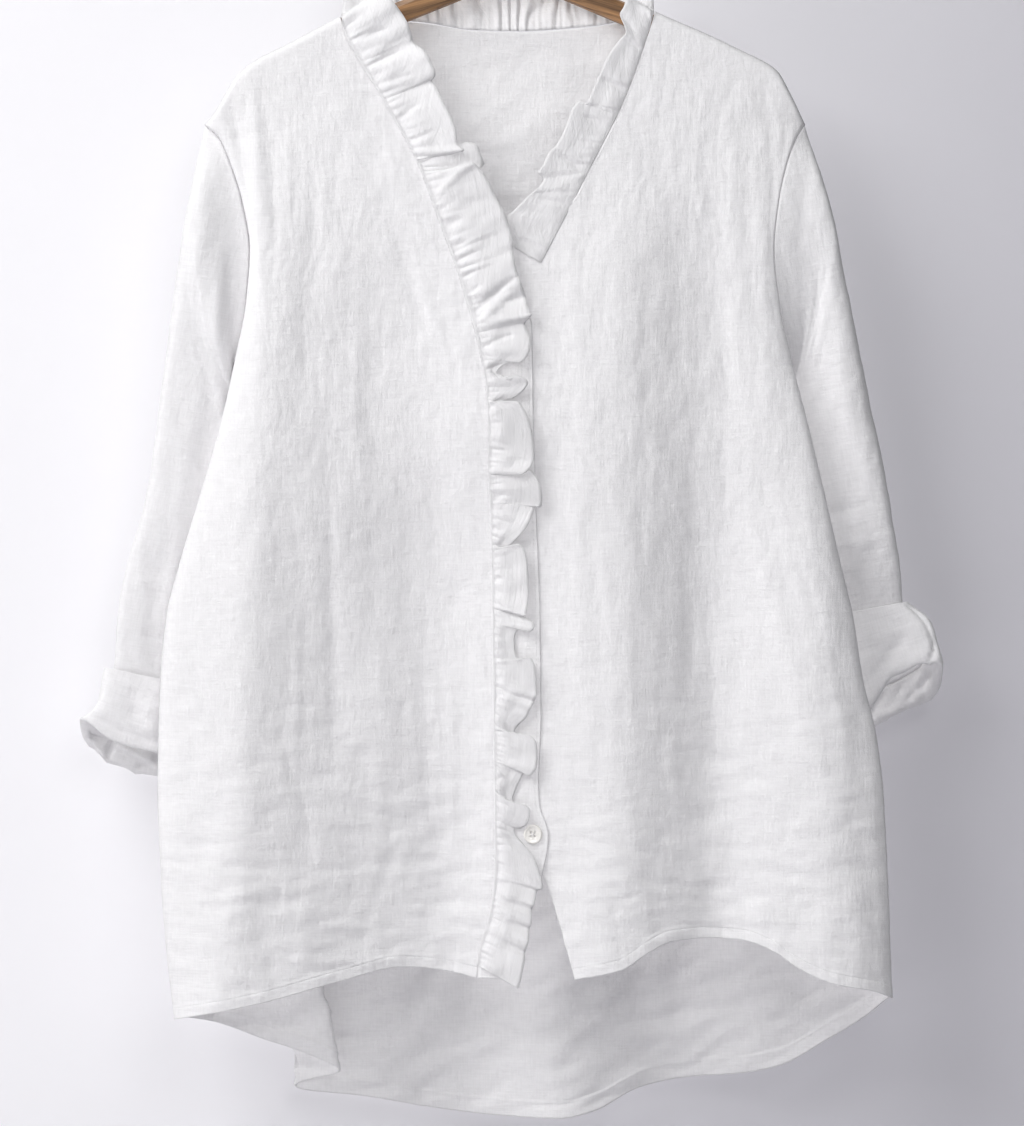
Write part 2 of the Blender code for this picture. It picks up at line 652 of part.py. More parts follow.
def button(name, x, drop):
    """A turned disc with a raised rim, seated on the band and tipped to lie along it."""
    half = BUTTON_THICK / 2
    dish = half - BUTTON_RIM
    profile = [(0.0, dish), (BUTTON_RADIUS * 0.68, dish), (BUTTON_RADIUS * 0.78, half)]
    profile += [(BUTTON_RADIUS * 0.94, half), (BUTTON_RADIUS, half * 0.4), (BUTTON_RADIUS * 0.8, -half), (0.0, -half)]
    mesh = bpy.data.meshes.new(name)
    edges = [(i, i + 1) for i in range(len(profile) - 1)]
    mesh.from_pydata([(r * MM, 0, z * MM) for r, z in profile], edges, [])
    obj = place(name, mesh, SHELL)
    turn = obj.modifiers.new("Turn", "SCREW")
    turn.steps = turn.render_steps = 12
    turn.use_merge_vertices = True
    turn.merge_threshold = 0.00001
    at = np.array([x, x + 1.0, x]), np.array([drop, drop, drop + 1.0])
    depth = body_depth(at[0], at[1], "front")
    facing = Vector((-(depth[1] - depth[0]), -1.0, depth[2] - depth[0])).normalized()
    seat = Vector((x, -depth[0] - BAND_LIFT, -drop))
    obj.location = (seat + facing * (WALL / 2 + SEAM_GAP + half)) * MM
    obj.rotation_euler = facing.to_track_quat("Z", "Y").to_euler()
    return obj


def arm_top(x):
    """The drop of the wood's upper edge: two straight slopes that carry the shoulders, rounded where they meet."""
    rest = HANGER_RESTS[0] if x < 0 else HANGER_RESTS[1]
    slope = (float(read(SHOULDER, "drop", rest)) + HANGER_SEAT - HANGER_TOP) / abs(rest)
    near = max(0.0, 1 - abs(x) / HANGER_ARCH)
    return HANGER_TOP + slope * abs(x) + 0.5 * slope * HANGER_ARCH * near * near


def arm_height(x):
    """The wood is a little shallower towards its ends."""
    return HANGER_HEIGHT - 2.5 * (x / HANGER_ENDS[0]) ** 2


def hanger_wood():
    """Two sloping arms in one flat piece, rounded at the edges and the ends."""
    right, left = HANGER_ENDS
    across = [right + (left - right) * i / 20 for i in range(21)]
    outline = [(x, -arm_top(x)) for x in across]
    outline += end_arc(left, 1)
    outline += [(x, -arm_top(x) - arm_height(x)) for x in reversed(across)]
    outline += end_arc(right, -1)
    curve = bpy.data.curves.new("hanger_wood", "CURVE")
    curve.dimensions = "2D"
    curve.fill_mode = "BOTH"
    curve.extrude = (HANGER_THICK / 2 - HANGER_ROUND) * MM
    curve.bevel_depth = HANGER_ROUND * MM
    curve.bevel_resolution = 1
    curve.offset = -HANGER_ROUND * MM
    spline = curve.splines.new("POLY")
    spline.points.add(len(outline) - 1)
    for point, (x, z) in zip(spline.points, outline):
        point.co = (x * MM, z * MM, 0, 1)
    spline.use_cyclic_u = True
    obj = place("hanger_wood", curve, WOOD)
    obj.rotation_euler = (math.pi / 2, 0, 0)
    return obj


def end_arc(x, outward):
    """A half-round arm end, from the top edge to the bottom edge on the right, and back on the left."""
    turns = [math.radians(a) for a in (45, 0, -45)]
    if outward < 0:
        turns = turns[::-1]
    height = arm_height(x)
    middle = -arm_top(x) - height / 2
    return [(x + outward * height / 2 * math.cos(a), middle + height / 2 * math.sin(a)) for a in turns]


def hanger_hook():
    """A round wire: a short shank, then three quarters of a turn. Its inside touches the origin."""
    middle = -(HOOK_RADIUS - HOOK_WIRE / 2)
    turn = [math.radians(a) for a in range(-90, 200, 15)]
    route = [(0.0, -arm_top(0.0) + SEAM_GAP), (0.0, middle - HOOK_RADIUS - 10.0), (0.8, middle - HOOK_RADIUS - 3.5)]
    route += [(HOOK_RADIUS * math.cos(a), middle + HOOK_RADIUS * math.sin(a)) for a in turn if a > -1.4]
    curve = bpy.data.curves.new("hanger_hook", "CURVE")
    curve.dimensions = "3D"
    curve.bevel_depth = HOOK_WIRE / 2 * MM
    curve.bevel_resolution = 2
    curve.use_fill_caps = True
    spline = curve.splines.new("POLY")
    spline.points.add(len(route) - 1)
    for point, (x, z) in zip(spline.points, route):
        point.co = (x * MM, 0, z * MM, 1)
    return place("hanger_hook", curve, STEEL)


def right_seam(drop):
    return read(FRILL_SEAM_RIGHT, "x", drop)


def left_seam(drop):
    return read(EDGE_FRONT_LEFT, "x", drop)


for old in list(bpy.data.objects):
    bpy.data.objects.remove(old)
PARTS = bpy.data.collections.new("tunic_top")
bpy.context.scene.collection.children.link(PARTS)
LINEN = material("linen", (0.87, 0.87, 0.88), 0.9)
SHELL = material("shell_button", (0.86, 0.85, 0.82), 0.35)
WOOD = material("wood", (0.36, 0.19, 0.08), 0.5)
STEEL = material("steel", (0.6, 0.6, 0.6), 0.3, 1.0)

front_right()
front_left()
back()
sleeve("sleeve_right", "right", SLEEVE_RIGHT, CUFF_RIGHT[-1], -1)
sleeve("sleeve_left", "left", SLEEVE_LEFT, CUFF_LEFT[-1], 1)
cuff("cuff_right", CUFF_RIGHT, -1)
cuff("cuff_left", CUFF_LEFT, 1)
band()
frill("frill_right", FRILL_RIGHT, right_seam, 1, BAND_LIFT + LAP, True)
frill("frill_left", FRILL_LEFT, left_seam, -1, LAP, False)
frill_back()
for number in range(BUTTONS):
    x = BUTTON_X if number else LOWEST_BUTTON_X
    button(f"button_{number + 1}", x, LOWEST_BUTTON - number * BUTTON_SPACING)
hanger_wood()
hanger_hook()
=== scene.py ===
# %% [markdown]
# # A linen tunic on a wooden hanger
#
# The tunic hangs from a plain wooden hanger: two fronts, a longer back, two sleeves with turned-back
# cuffs, and a gathered frill round the neck and down the front edge. Cloth could be simulated, but a
# shirt that hangs still is easier to steer when each panel is a fine grid of points: the grid follows the
# panel's form, small creases are added along its normals, and Solidify gives it the thickness of the
# cloth. Lengths are millimetres until a mesh is made. A drop is a distance below the hook's bend, the
# origin.

# %% Load the frame
import math

import bmesh
import bpy
import numpy as np
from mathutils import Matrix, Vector


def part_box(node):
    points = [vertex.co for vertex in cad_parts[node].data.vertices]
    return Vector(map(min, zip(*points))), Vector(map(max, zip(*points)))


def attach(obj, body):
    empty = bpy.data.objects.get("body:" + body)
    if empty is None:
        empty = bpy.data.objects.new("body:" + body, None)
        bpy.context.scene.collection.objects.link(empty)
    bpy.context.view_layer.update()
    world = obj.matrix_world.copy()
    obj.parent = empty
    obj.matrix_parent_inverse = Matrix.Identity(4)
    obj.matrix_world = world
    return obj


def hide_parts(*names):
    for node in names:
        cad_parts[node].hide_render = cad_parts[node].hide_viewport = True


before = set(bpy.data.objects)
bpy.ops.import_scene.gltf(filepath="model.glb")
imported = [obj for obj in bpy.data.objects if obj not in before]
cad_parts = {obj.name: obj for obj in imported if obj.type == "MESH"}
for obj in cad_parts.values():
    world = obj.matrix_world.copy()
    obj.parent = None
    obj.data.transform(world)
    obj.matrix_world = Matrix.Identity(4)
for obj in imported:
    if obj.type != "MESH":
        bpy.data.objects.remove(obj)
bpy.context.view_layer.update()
MM = 0.001

# %% [markdown]
# ## Small tables
#
# A garment's edges and folds are few numbers each, so they are short tables with named columns. Between
# its rows a table is read with a smooth curve that never overshoots, as a maker would draw it through the
# marks on a pattern with a bent ruler.


# %% Tables and how they are read
def columns(names, text):
    """A table with named columns, one row a line."""
    return dict(zip(names.split(), np.array([row.split() for row in text.strip().splitlines()], float).T))


def bend(t, step, ends, slopes):
    """A curve between two ends with given slopes, at shares t of the step."""
    start = (1 + 2 * t) * (1 - t) ** 2 * ends[0] + t * (1 - t) ** 2 * step * slopes[0]
    return start + t * t * (3 - 2 * t) * ends[1] + t * t * (t - 1) * step * slopes[1]


def read(table, column, at):
    """A smooth curve through one column, read at values of the first column."""
    keys, values = next(iter(table.values())), table[column]
    step = np.diff(keys)
    rise = np.diff(values) / step
    turning = rise[:-1] * rise[1:] <= 0
    safe = np.where(turning[:, None], 1.0, np.stack([rise[:-1], rise[1:]], 1))
    before, after = 2 * step[1:] + step[:-1], step[1:] + 2 * step[:-1]
    inner = np.where(turning, 0.0, (before + after) / (before / safe[:, 0] + after / safe[:, 1]))
    slopes = np.concatenate([rise[:1], inner, rise[-1:]])
    at = np.clip(np.asarray(at, float), keys[0], keys[-1])
    i = np.clip(np.searchsorted(keys, at) - 1, 0, len(keys) - 2)
    return bend((at - keys[i]) / step[i], step[i], (values[i], values[i + 1]), (slopes[i], slopes[i + 1]))


def ease(t):
    """From 0 to 1 with level ends."""
    t = np.clip(t, 0.0, 1.0)
    return t * t * (3 - 2 * t)


def ridge(away, half):
    """A soft ridge, 1 in its middle."""
    return np.exp(-((away / half) ** 2))


# %% The body's outline and depth
BODY = columns("drop right left front back", """
110 -290 276 9.5 9
165 -257 243 12 10.5
206.2 -231.8 218 15 11.5
216 -221 212 15.8 11.7
232 -213.5 205.5 17.2 12
265 -203 198 20.5 12.6
300 -197.5 194.5 24 13.2
340 -200.5 198.5 27.5 13.8
385 -209.5 208.5 30.5 14.5
430 -219.5 220 33 15.5
480 -234 232 35 16.5
535 -250.5 244.5 37.5 18
575 -260.5 254 39.5 19
620 -264.8 261 42 21
665 -266.3 271.5 44 23.5
705 -267 276.5 46 26.5
760 -265 279.5 49 32
820 -261 281.5 52 38
875.3 -254.3 283 54 43
952 -240 283 56 48
""")
SHOULDER = columns("x drop", """
-231.8 206.2
-225 198.5
-217.5 185.5
-209 171.5
-203 165
-194 158.3
-169.5 145.8
-130.5 125.3
0 66
105.8 121.5
147.8 139.9
172.5 151.8
186 158.3
197 165.8
207 183
218 206.2
""")
BACK_NECK = columns("x drop", """
-130.5 125.3
-110 126.5
-67.5 129.5
-31.5 135
4 136
39 134
74 130
95 124.5
105.8 121.5
""")
HEM_FRONT_RIGHT = columns("x drop", """
-254.3 875.3
-189 862.4
-131 846.9
-84 836.4
-54.8 838.8
-27.8 844.8
""")
HEM_FRONT_LEFT = columns("x drop", """
45.8 844.8
79.5 837.8
102 823.7
117.8 816.5
146.3 814.1
170.3 815.7
194.3 824.1
210.8 835.5
237 847.3
270.8 854.1
283 859.5
""")
HEM_BACK = columns("x drop", """
-254.3 875.3
-224 881
-190.5 897.8
-169.5 914.2
-148.5 923.5
-127.5 932.2
-106.5 936.9
-70.5 945.5
-10.5 952.6
34.5 954.1
60.8 948.6
94.5 931.4
132 923.8
169.5 920.6
199.5 914.7
237 893.9
267 874.4
283 859.5
""")
SEAM_RIGHT = columns("drop x", """
125.3 -130.5
141.8 -123.8
183 -99.8
236.3 -70.5
271.5 -57.5
321 -39.5
372.8 -24.8
393 -20.3
421.5 -18
465 -17.5
510 -15.2
617 -13.8
755.3 -12.3
777.8 -13.5
795 -16
823.5 -24.5
847 -27.8
""")
EDGE_LEFT = columns("drop x", """
121.5 105.8
144 99
190.5 81.8
240 57
309.8 21
337.5 4.5
367.5 -3.5
427.5 -5.3
682.5 -5.3
720 -2.5
746.3 6
771 23.3
804 34
837.8 43.5
847 45.8
""")
EDGE_BAND = columns("drop x", """
326 0.8
340 8
358.5 13.5
421.5 14.5
502.5 17
574.5 19.5
645.8 20.3
703.5 18.5
716 19.5
738 26
764.3 21.8
795 12
836 4
847 1
""")
FRONT_FOLDS = columns("x_top drop_top x_end drop_end half rise", """
-180 215 -223 1020 26 6.5
-98 235 -44 1020 50 -9
-48 420 -19 1020 64 -15
-142 480 -104 1020 38 -8
-62 640 -56 1250 72 -8
79 215 75 1020 35 7
147 205 153 1020 35 -7
148 430 161 1020 36 -7
218 420 257 1020 26 6.5
""")
BACK_FOLDS = columns("x_top drop_top x_end drop_end half rise", """
-120 230 -100 860 26 -6
-35 260 -30 900 28 5
52 240 60 900 24 -5.5
128 260 150 880 26 5
-44 620 -50 1100 44 11
44 620 40 1100 38 -13
124 620 132 1100 40 12
""")
print("front folds", len(FRONT_FOLDS["half"]), "back folds", len(BACK_FOLDS["half"]))

# %% [markdown]
# ## The form of the body
#
# Seen from above, the hanging body is a flat oval that is squarer than an ellipse, and it thickens
# towards the hem. Soft vertical folds stand on it. A panel is the smooth patch between its own four
# edges, laid on that form. A lofted surface would need a guide for each fold, where a formula for the
# depth gives them all at once.

# %% Depth of the front and the back
BULGE_POWER, SHOULDER_POWER, SHOULDER_ROUND = 3.0, 3.0, 6.0
SEAM_DEPTH, FOLD_FADE, LAP = 0.42, 150.0, 1.5
BAND_LIFT = LAP + 0.6
ARMHOLE_TOP, ARMHOLE_END, ARMHOLE_DEPTH = 206.2, 385.0, {"right": 8.5, "left": 18.0}
CHEST, HIPS = 150, 330  # drops from which the front grows squarer
NECK_RIGHT, NECK_LEFT, TIP_RIGHT, TIP_LEFT = (-130.5, 125.3), (105.8, 121.5), -231.8, 218.0
HEM_END_RIGHT, HEM_END_LEFT, FRONT_HEM = 875.3, 859.5, 844.8


def folds(table, x, drop):
    """How far the soft folds stand out at a place."""
    out = 0
    for x_top, drop_top, x_end, drop_end, half, rise in zip(*table.values()):
        down = (drop - drop_top) / (drop_end - drop_top)
        fade = ease((drop - drop_top) / FOLD_FADE) * ease((drop_end - drop) / FOLD_FADE)
        out = out + rise * fade * ridge(x - x_top - (x_end - x_top) * down, half)
    return out


def armhole_depth(drop, side):
    share = np.clip((drop - ARMHOLE_TOP) / (ARMHOLE_END - ARMHOLE_TOP), 0.0, 1.0)
    return SEAM_DEPTH + ARMHOLE_DEPTH[side] * (1 - np.abs(2 * share - 1) ** 2.5) ** 0.75


def squarer(across, drop):
    """The front is squarer than the back, first at the chest and then, mostly on its left, at the hips."""
    left, chest, hips = ease(4 * across), ease((drop - CHEST) / 120), ease((drop - HIPS) / 110)
    return (2.0 - left) * chest + (1.0 + 7.0 * left) * hips


def body_depth(x, drop, side):
    """How far the front or the back stands from the plane of the side seams."""
    right, left = read(BODY, "right", drop), read(BODY, "left", drop)
    across = np.clip((x - (right + left) / 2) / ((left - right) / 2), -1.0, 1.0)
    power = BULGE_POWER + (squarer(across, drop) if side == "front" else 0.0)
    bulge = (1 - np.abs(across) ** power) ** (1 / power)
    below = np.clip((drop - read(SHOULDER, "drop", x)) / SHOULDER_ROUND, 0.0, 1.0)
    over_arm = (1 - (1 - below) ** SHOULDER_POWER) ** (1 / SHOULDER_POWER)
    edge = np.where(across < 0, armhole_depth(drop, "right"), armhole_depth(drop, "left"))
    edge = SEAM_DEPTH + (edge - SEAM_DEPTH) * ease(np.abs(across) * 3)
    soft = folds(FRONT_FOLDS if side == "front" else BACK_FOLDS, x, drop)
    return np.maximum(edge + (over_arm * read(BODY, side, drop) - edge + soft) * bulge, SEAM_DEPTH)


# %% Panels between four edges
def line_points(table, start, end, shares):
    x = start + (end - start) * shares
    return np.stack([x, read(table, "drop", x)], -1)


def edge_points(table, column, start, end, shares):
    drop = start + (end - start) * shares
    return np.stack([read(table, column, drop), drop], -1)


def patch(u, v, top, hem, first, last):
    """x and drop of a grid between its top's points, its hem's table and the points of its two sides."""
    bottom = line_points(hem, hem["x"][0], hem["x"][-1], u)
    u, v = u[None, :, None], v[:, None, None]
    across = (1 - v) * top[None] + v * bottom[None]
    down = (1 - u) * first[:, None] + u * last[:, None]
    corners = (1 - v) * ((1 - u) * top[0] + u * top[-1]) + v * ((1 - u) * bottom[0] + u * bottom[-1])
    return np.moveaxis(across + down - corners, -1, 0)


def spread(*rows):
    """Shares from 0 to 1, with as many even steps up to each share as its row says."""
    shares, at = [0.0], 0.0
    for end, count in rows:
        shares += [at + (end - at) * (i + 1) / count for i in range(count)]
        at = end
    return np.array(shares)


def to_grid(x, y, drop):
    return np.stack(np.broadcast_arrays(x, y, -np.asarray(drop)), -1)


def push(grid, height, closed=False):
    """Moves a grid's points along its normals, which point to the cloth's outer face."""
    wide = np.concatenate([grid[:, -1:], grid, grid[:, :1]], 1) if closed else grid
    normal = np.cross(np.gradient(wide, axis=0), np.gradient(wide, axis=1))
    normal /= np.maximum(np.linalg.norm(normal, axis=-1, keepdims=True), 1e-9)
    normal = normal[:, 1:-1] if closed else normal
    return grid + normal * np.asarray(height)[..., None]


print("front depth at the chest", float(body_depth(0.0, 400.0, "front")))

# %% [markdown]
# ## Creases and crumples
#
# Linen remembers every bend. Large creases are listed, each a soft trough or ridge from one point
# to another. The fine crumple is smooth noise, stretched along the threads and bent by slower noise, so
# that no two places repeat. It stands upright where the cloth hangs freely and lies across where it has
# been sat on.


# %% Smooth noise and creases
def noise(x, y, seed):
    """Smooth noise about zero, with one swing a unit."""
    turn = np.random.default_rng(seed).uniform(0, 2 * math.pi, (64, 64))
    x, y = np.broadcast_arrays(x, y)
    x0, y0 = np.floor(x).astype(int), np.floor(y).astype(int)
    fx, fy = x - x0, y - y0
    sx, sy = (f**3 * (f * (f * 6 - 15) + 10) for f in (fx, fy))

    def corner(i, j):
        angle = turn[(x0 + i) % 64, (y0 + j) % 64]
        return np.cos(angle) * (fx - i) + np.sin(angle) * (fy - j)

    top, low = (corner(0, j) * (1 - sx) + corner(1, j) * sx for j in (0, 1))
    return 1.5 * (top * (1 - sy) + low * sy)


def crumple(x, drop, seed, lying):
    """Fine crumple, from upright streaks (lying 0) to streaks that lie across (lying 1). x and drop are
    divided by a streak's width and height."""
    bent = 9 * noise(x / 50, drop / 50, seed)
    upright = noise((x + bent) / 6.5, drop / 17, seed + 1)
    upright = upright + 0.6 * noise((x + bent) / 4.0, drop / 8, seed + 2)
    across = noise(x / 26, (drop + bent) / 7, seed + 3) + 0.5 * noise(x / 12, (drop + bent) / 4.5, seed + 4)
    return upright * (1 - lying) + across * lying


CREASE_NAMES = "x drop x_end drop_end half rise bow"


def creases(table, x, drop):
    """Listed creases: each runs from one point to another, bowed sideways, and fades at its ends."""
    out = 0
    for x_start, drop_start, x_end, drop_end, half, rise, bow in zip(*table.values()):
        run = np.array([x_end - x_start, drop_end - drop_start])
        length = float(np.hypot(*run))
        run /= length
        down = ((x - x_start) * run[0] + (drop - drop_start) * run[1]) / length
        aside = (x - x_start) * run[1] - (drop - drop_start) * run[0] - bow * 4 * down * (1 - down)
        inside = np.clip(4 * down * (1 - down), 0, None)
        out = out + rise * inside**0.7 * ridge(aside, half * (0.5 + 0.5 * inside))
    return out


def scattered(count, seed, place, length, half, rise):
    """Small creases at seeded places. length is a gamma's shape and scale, half a range, rise a spread."""
    rng = np.random.default_rng(seed)
    rows = []
    for _ in range(count):
        x, drop, angle = place(rng)
        far, wide, high = rng.gamma(*length), rng.uniform(*half), rng.normal(0, rise)
        bow = rng.normal(0, 0.08) * far
        rows.append((x, drop, x + far * math.cos(angle), drop + far * math.sin(angle), wide, high, bow))
    return dict(zip(CREASE_NAMES.split(), np.array(rows).T))


def anywhere(xs, drops, lean):
    """Places for crush marks, all over a panel."""
    return lambda rng: (rng.uniform(*xs), rng.uniform(*drops), rng.normal(*lean))


def along_seam(table, side, drops):
    """Places for puckers: they start at a gathered seam and run away from it, slightly down."""
    def place(rng):
        drop = rng.uniform(*drops)
        x = float(read(table, "x", drop)) + side * rng.uniform(0, 2)
        return x, drop, (math.pi if side < 0 else 0.0) - side * rng.normal(-0.12, 0.22)

    return place


# %% [markdown]
# ## Finishes
#
# A finish is a node graph. The small class below wraps one socket, so that shader maths reads as sums,
# and its one method adds any other kind of node. The linen is a plain weave of uneven threads: thin and
# thick places in the yarn show as short streaks along both directions, in colour and in relief.


# %% Shader sums
class Wire:
    """A node's output. Sums on it add Math, Vector Math or Mix nodes, and node() adds any other node."""

    def __init__(self, tree, socket=None):
        self.tree, self.socket = tree, socket

    def node(self, kind, settings, inputs, output=0):
        made = self.tree.nodes.new(kind)
        for key, value in settings.items():
            setattr(made, key, value)
        for key, value in inputs.items():
            if isinstance(value, Wire):
                self.tree.links.new(value.socket, made.inputs[key])
            else:
                made.inputs[key].default_value = value
        return Wire(self.tree, made.outputs[output])

    def beside(self, output):
        return Wire(self.tree, self.socket.node.outputs[output])

    def to(self, shader, name):
        self.tree.links.new(self.socket, shader.inputs[name])

    def sum(self, operation, first, second):
        kinds = {side.socket.type for side in (first, second) if isinstance(side, Wire)}
        if kinds == {"VALUE"}:
            return self.node("ShaderNodeMath", {"operation": operation}, {0: first, 1: second})
        if "RGBA" in kinds:
            first, second = (s if isinstance(s, Wire) else (s, s, s, 1.0) for s in (first, second))
            settings = {"data_type": "RGBA", "blend_type": operation}
            return self.node("ShaderNodeMix", settings, {0: 1.0, 6: first, 7: second}, 2)
        first, second = (s if isinstance(s, Wire) else (s, s, s) for s in (first, second))
        return self.node("ShaderNodeVectorMath", {"operation": operation}, {0: first, 1: second})

    def __add__(self, other):
        return self.sum("ADD", self, other)

    def __sub__(self, other):
        return self.sum("SUBTRACT", self, other)

    def __rsub__(self, other):
        return self.sum("SUBTRACT", other, self)

    def __mul__(self, other):
        return self.sum("MULTIPLY", self, other)

    __radd__, __rmul__ = __add__, __mul__


def new_finish(name):
    made = bpy.data.materials.new(name)
    made.use_nodes = True
    return made, made.node_tree.nodes["Principled BSDF"], Wire(made.node_tree)


def mixed(wire, factor, first, second):
    inputs = {0: factor, 6: (*first, 1.0), 7: (*second, 1.0)}
    return wire.node("ShaderNodeMix", {"data_type": "RGBA"}, inputs, output=2)


def mottle(wire, scale, detail, **more):
    """Blender's noise, at a scale."""
    return wire.node("ShaderNodeTexNoise", {}, {"Scale": scale, "Detail": detail, **more})


def streaks(wire, place, one, other):
    """Noise on the cloth's own threads, half of it along them and half across, in swings a metre."""
    out = []
    for size in ((one, other, 1.0), (other, one, 1.0)):
        scaled = wire.node("ShaderNodeVectorMath", {"operation": "MULTIPLY"}, {0: place, 1: size})
        inputs = {"Vector": scaled, "Scale": 1.0, "Detail": 2.0}
        out.append(wire.node("ShaderNodeTexNoise", {"noise_dimensions": "2D"}, inputs) * 0.5)
    return out[0] + out[1]


# %% Linen
THREAD_PITCH = 0.00072
SLUB, FIBRE, CRINKLE = (900, 60), (420, 130), (190, 60)  # swings a metre, across and along


def linen(name, light, dark, relief):
    made, shader, wire = new_finish(name)
    place = wire.node("ShaderNodeUVMap", {"uv_map": "threads"}, {})
    across = wire.node("ShaderNodeSeparateXYZ", {}, {0: place}, "X")
    turns = (at * (2 * math.pi / THREAD_PITCH) for at in (across, across.beside("Y")))
    warp, weft = (wire.node("ShaderNodeMath", {"operation": "SINE"}, {0: turn}) for turn in turns)
    slub, fibre, crinkle = (streaks(wire, place, *size) for size in (SLUB, FIBRE, CRINKLE))
    uneven = slub * 0.6 + fibre * 0.4
    shade = wire.node("ShaderNodeMapRange", {}, {0: uneven, 1: 0.36, 2: 0.64, 3: 0.0, 4: 1.0})
    mixed(wire, shade, dark, light).to(shader, "Base Color")
    (0.82 + slub * 0.16).to(shader, "Roughness")
    height = warp * weft * 0.05 + slub * 0.3 + fibre * 0.5 + crinkle * 0.85
    bump = wire.node("ShaderNodeBump", {}, {"Strength": relief, "Distance": 0.00085, "Height": height})
    bump.to(shader, "Normal")
    shader.inputs["Sheen Weight"].default_value = 0.12
    shader.inputs["Sheen Roughness"].default_value = 0.5
    return made


LINEN = linen("linen", (0.895, 0.885, 0.895), (0.83, 0.82, 0.83), 1.0)
LINEN_THREAD = linen("linen_thread", (0.89, 0.88, 0.89), (0.81, 0.80, 0.81), 0.2)
print("linen nodes", len(LINEN.node_tree.nodes))

# %% [markdown]
# ## Cloth from a grid
#
# Each piece of cloth is one mesh. Its map named "threads" says where each thread runs, in metres. A panel
# is cut with its threads straight, so its map is the flat pattern, turned by the panel's lean. A gathered
# strip bends, so there the map is the distance walked along the grid. Solidify makes the wall, and a
# vertex group makes it twice as thick where the hem is turned up. Each piece says which solid it stands
# for.


# %% A mesh from a grid of points
def add(name, data, finish=None):
    """Puts a mesh, a curve, a lamp or a camera into the scene."""
    if finish:
        data.materials.append(finish)
    obj = bpy.data.objects.new(name, data)
    bpy.context.scene.collection.objects.link(obj)
    return obj


def mesh_of(name, points, faces):
    """A smooth mesh from points in millimetres."""
    mesh = bpy.data.meshes.new(name)
    mesh.from_pydata((points * MM).tolist(), [], faces)
    mesh.shade_smooth()
    return mesh


def hang(obj, node=None):
    """The piece rides on the garment's one body, and may stand for a solid."""
    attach(obj, "root")
    if node:
        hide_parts(node)


CLOTH, HEM = 0.8, 1.5  # thickness of single cloth and of a turned hem


def walked(grid, axis):
    step = np.linalg.norm(np.diff(grid, axis=axis), axis=-1)
    return np.concatenate([np.zeros_like(np.take(step, [0], axis)), np.cumsum(step, axis)], axis)


def cloth(node, grid, closed=False, turned=None,
          wall=CLOTH, lean=0.0):
    """A piece of cloth on a grid of points, doubled where it is turned."""
    rows, wide = grid.shape[:2]
    r, c = np.meshgrid(np.arange(rows - 1), np.arange(wide if closed else wide - 1), indexing="ij")
    d = (c + 1) % wide
    faces = np.stack([r * wide + c, (r + 1) * wide + c, (r + 1) * wide + d, r * wide + d], -1).reshape(-1, 4)
    mesh = mesh_of(node + "_cloth", grid.reshape(-1, 3), faces.tolist())
    full = np.concatenate([grid, grid[:, :1]], 1) if closed else grid
    if lean is None:
        across, down = walked(full, 1), walked(full, 0)
    else:
        across = full[..., 0] * math.cos(lean) - full[..., 2] * math.sin(lean)
        down = -full[..., 2] * math.cos(lean) - full[..., 0] * math.sin(lean)
    corners = [(r, c), (r + 1, c), (r + 1, c + 1), (r, c + 1)]
    threads = np.stack([np.stack([across[i, j], down[i, j]], -1) for i, j in corners], 2)
    mesh.uv_layers.new(name="threads").uv.foreach_set("vector", (threads * MM).astype(np.float32).ravel())
    obj = add(node + "_cloth", mesh, LINEN)
    solid = obj.modifiers.new("Wall", "SOLIDIFY")
    solid.offset, solid.thickness = 0.0, wall * MM
    if turned is not None:
        group = obj.vertex_groups.new(name="hem")
        solid.thickness, solid.vertex_group = HEM * MM, "hem"
        for doubled, share in ((False, wall / HEM), (True, 1.0)):
            group.add(np.flatnonzero(turned.ravel() == doubled).tolist(), share, "ADD")
    hang(obj, node)
    print(node, len(faces) * 4, "triangles with its two faces")


# %% Stitches
STITCH, STITCH_GAP, THREAD, THREAD_SIDES = 2.3, 0.9, 0.24, 5


def stitches(name, path):
    """A row of stitches along a path of points: each is a short thread with pointed ends."""
    far = np.concatenate([[0], np.cumsum(np.linalg.norm(np.diff(path, axis=0), axis=1))])
    angle = 2 * math.pi * np.arange(THREAD_SIDES)[:, None] / THREAD_SIDES
    points, faces = [], []
    for start in np.arange(0, far[-1] - STITCH, STITCH + STITCH_GAP):
        a, b = (np.array([np.interp(at, far, line) for line in path.T]) for at in (start, start + STITCH))
        run = (b - a) / np.linalg.norm(b - a)
        side = np.cross(run, (0.3, 0.9, 0.2))
        side /= np.linalg.norm(side)
        ring = THREAD * (np.cos(angle) * side + np.sin(angle) * np.cross(run, side))
        base, low, high = len(points), a + (b - a) * 0.2 + ring, a + (b - a) * 0.8 + ring
        points += [a, *low, *high, b]
        for k in range(THREAD_SIDES):
            one, two = base + 1 + k, base + 1 + (k + 1) % THREAD_SIDES
            over, past = one + THREAD_SIDES, two + THREAD_SIDES
            faces += [(base, two, one), (one, two, past, over), (over, past, len(points) - 1)]
    hang(add(name, mesh_of(name, np.array(points), faces), LINEN_THREAD))
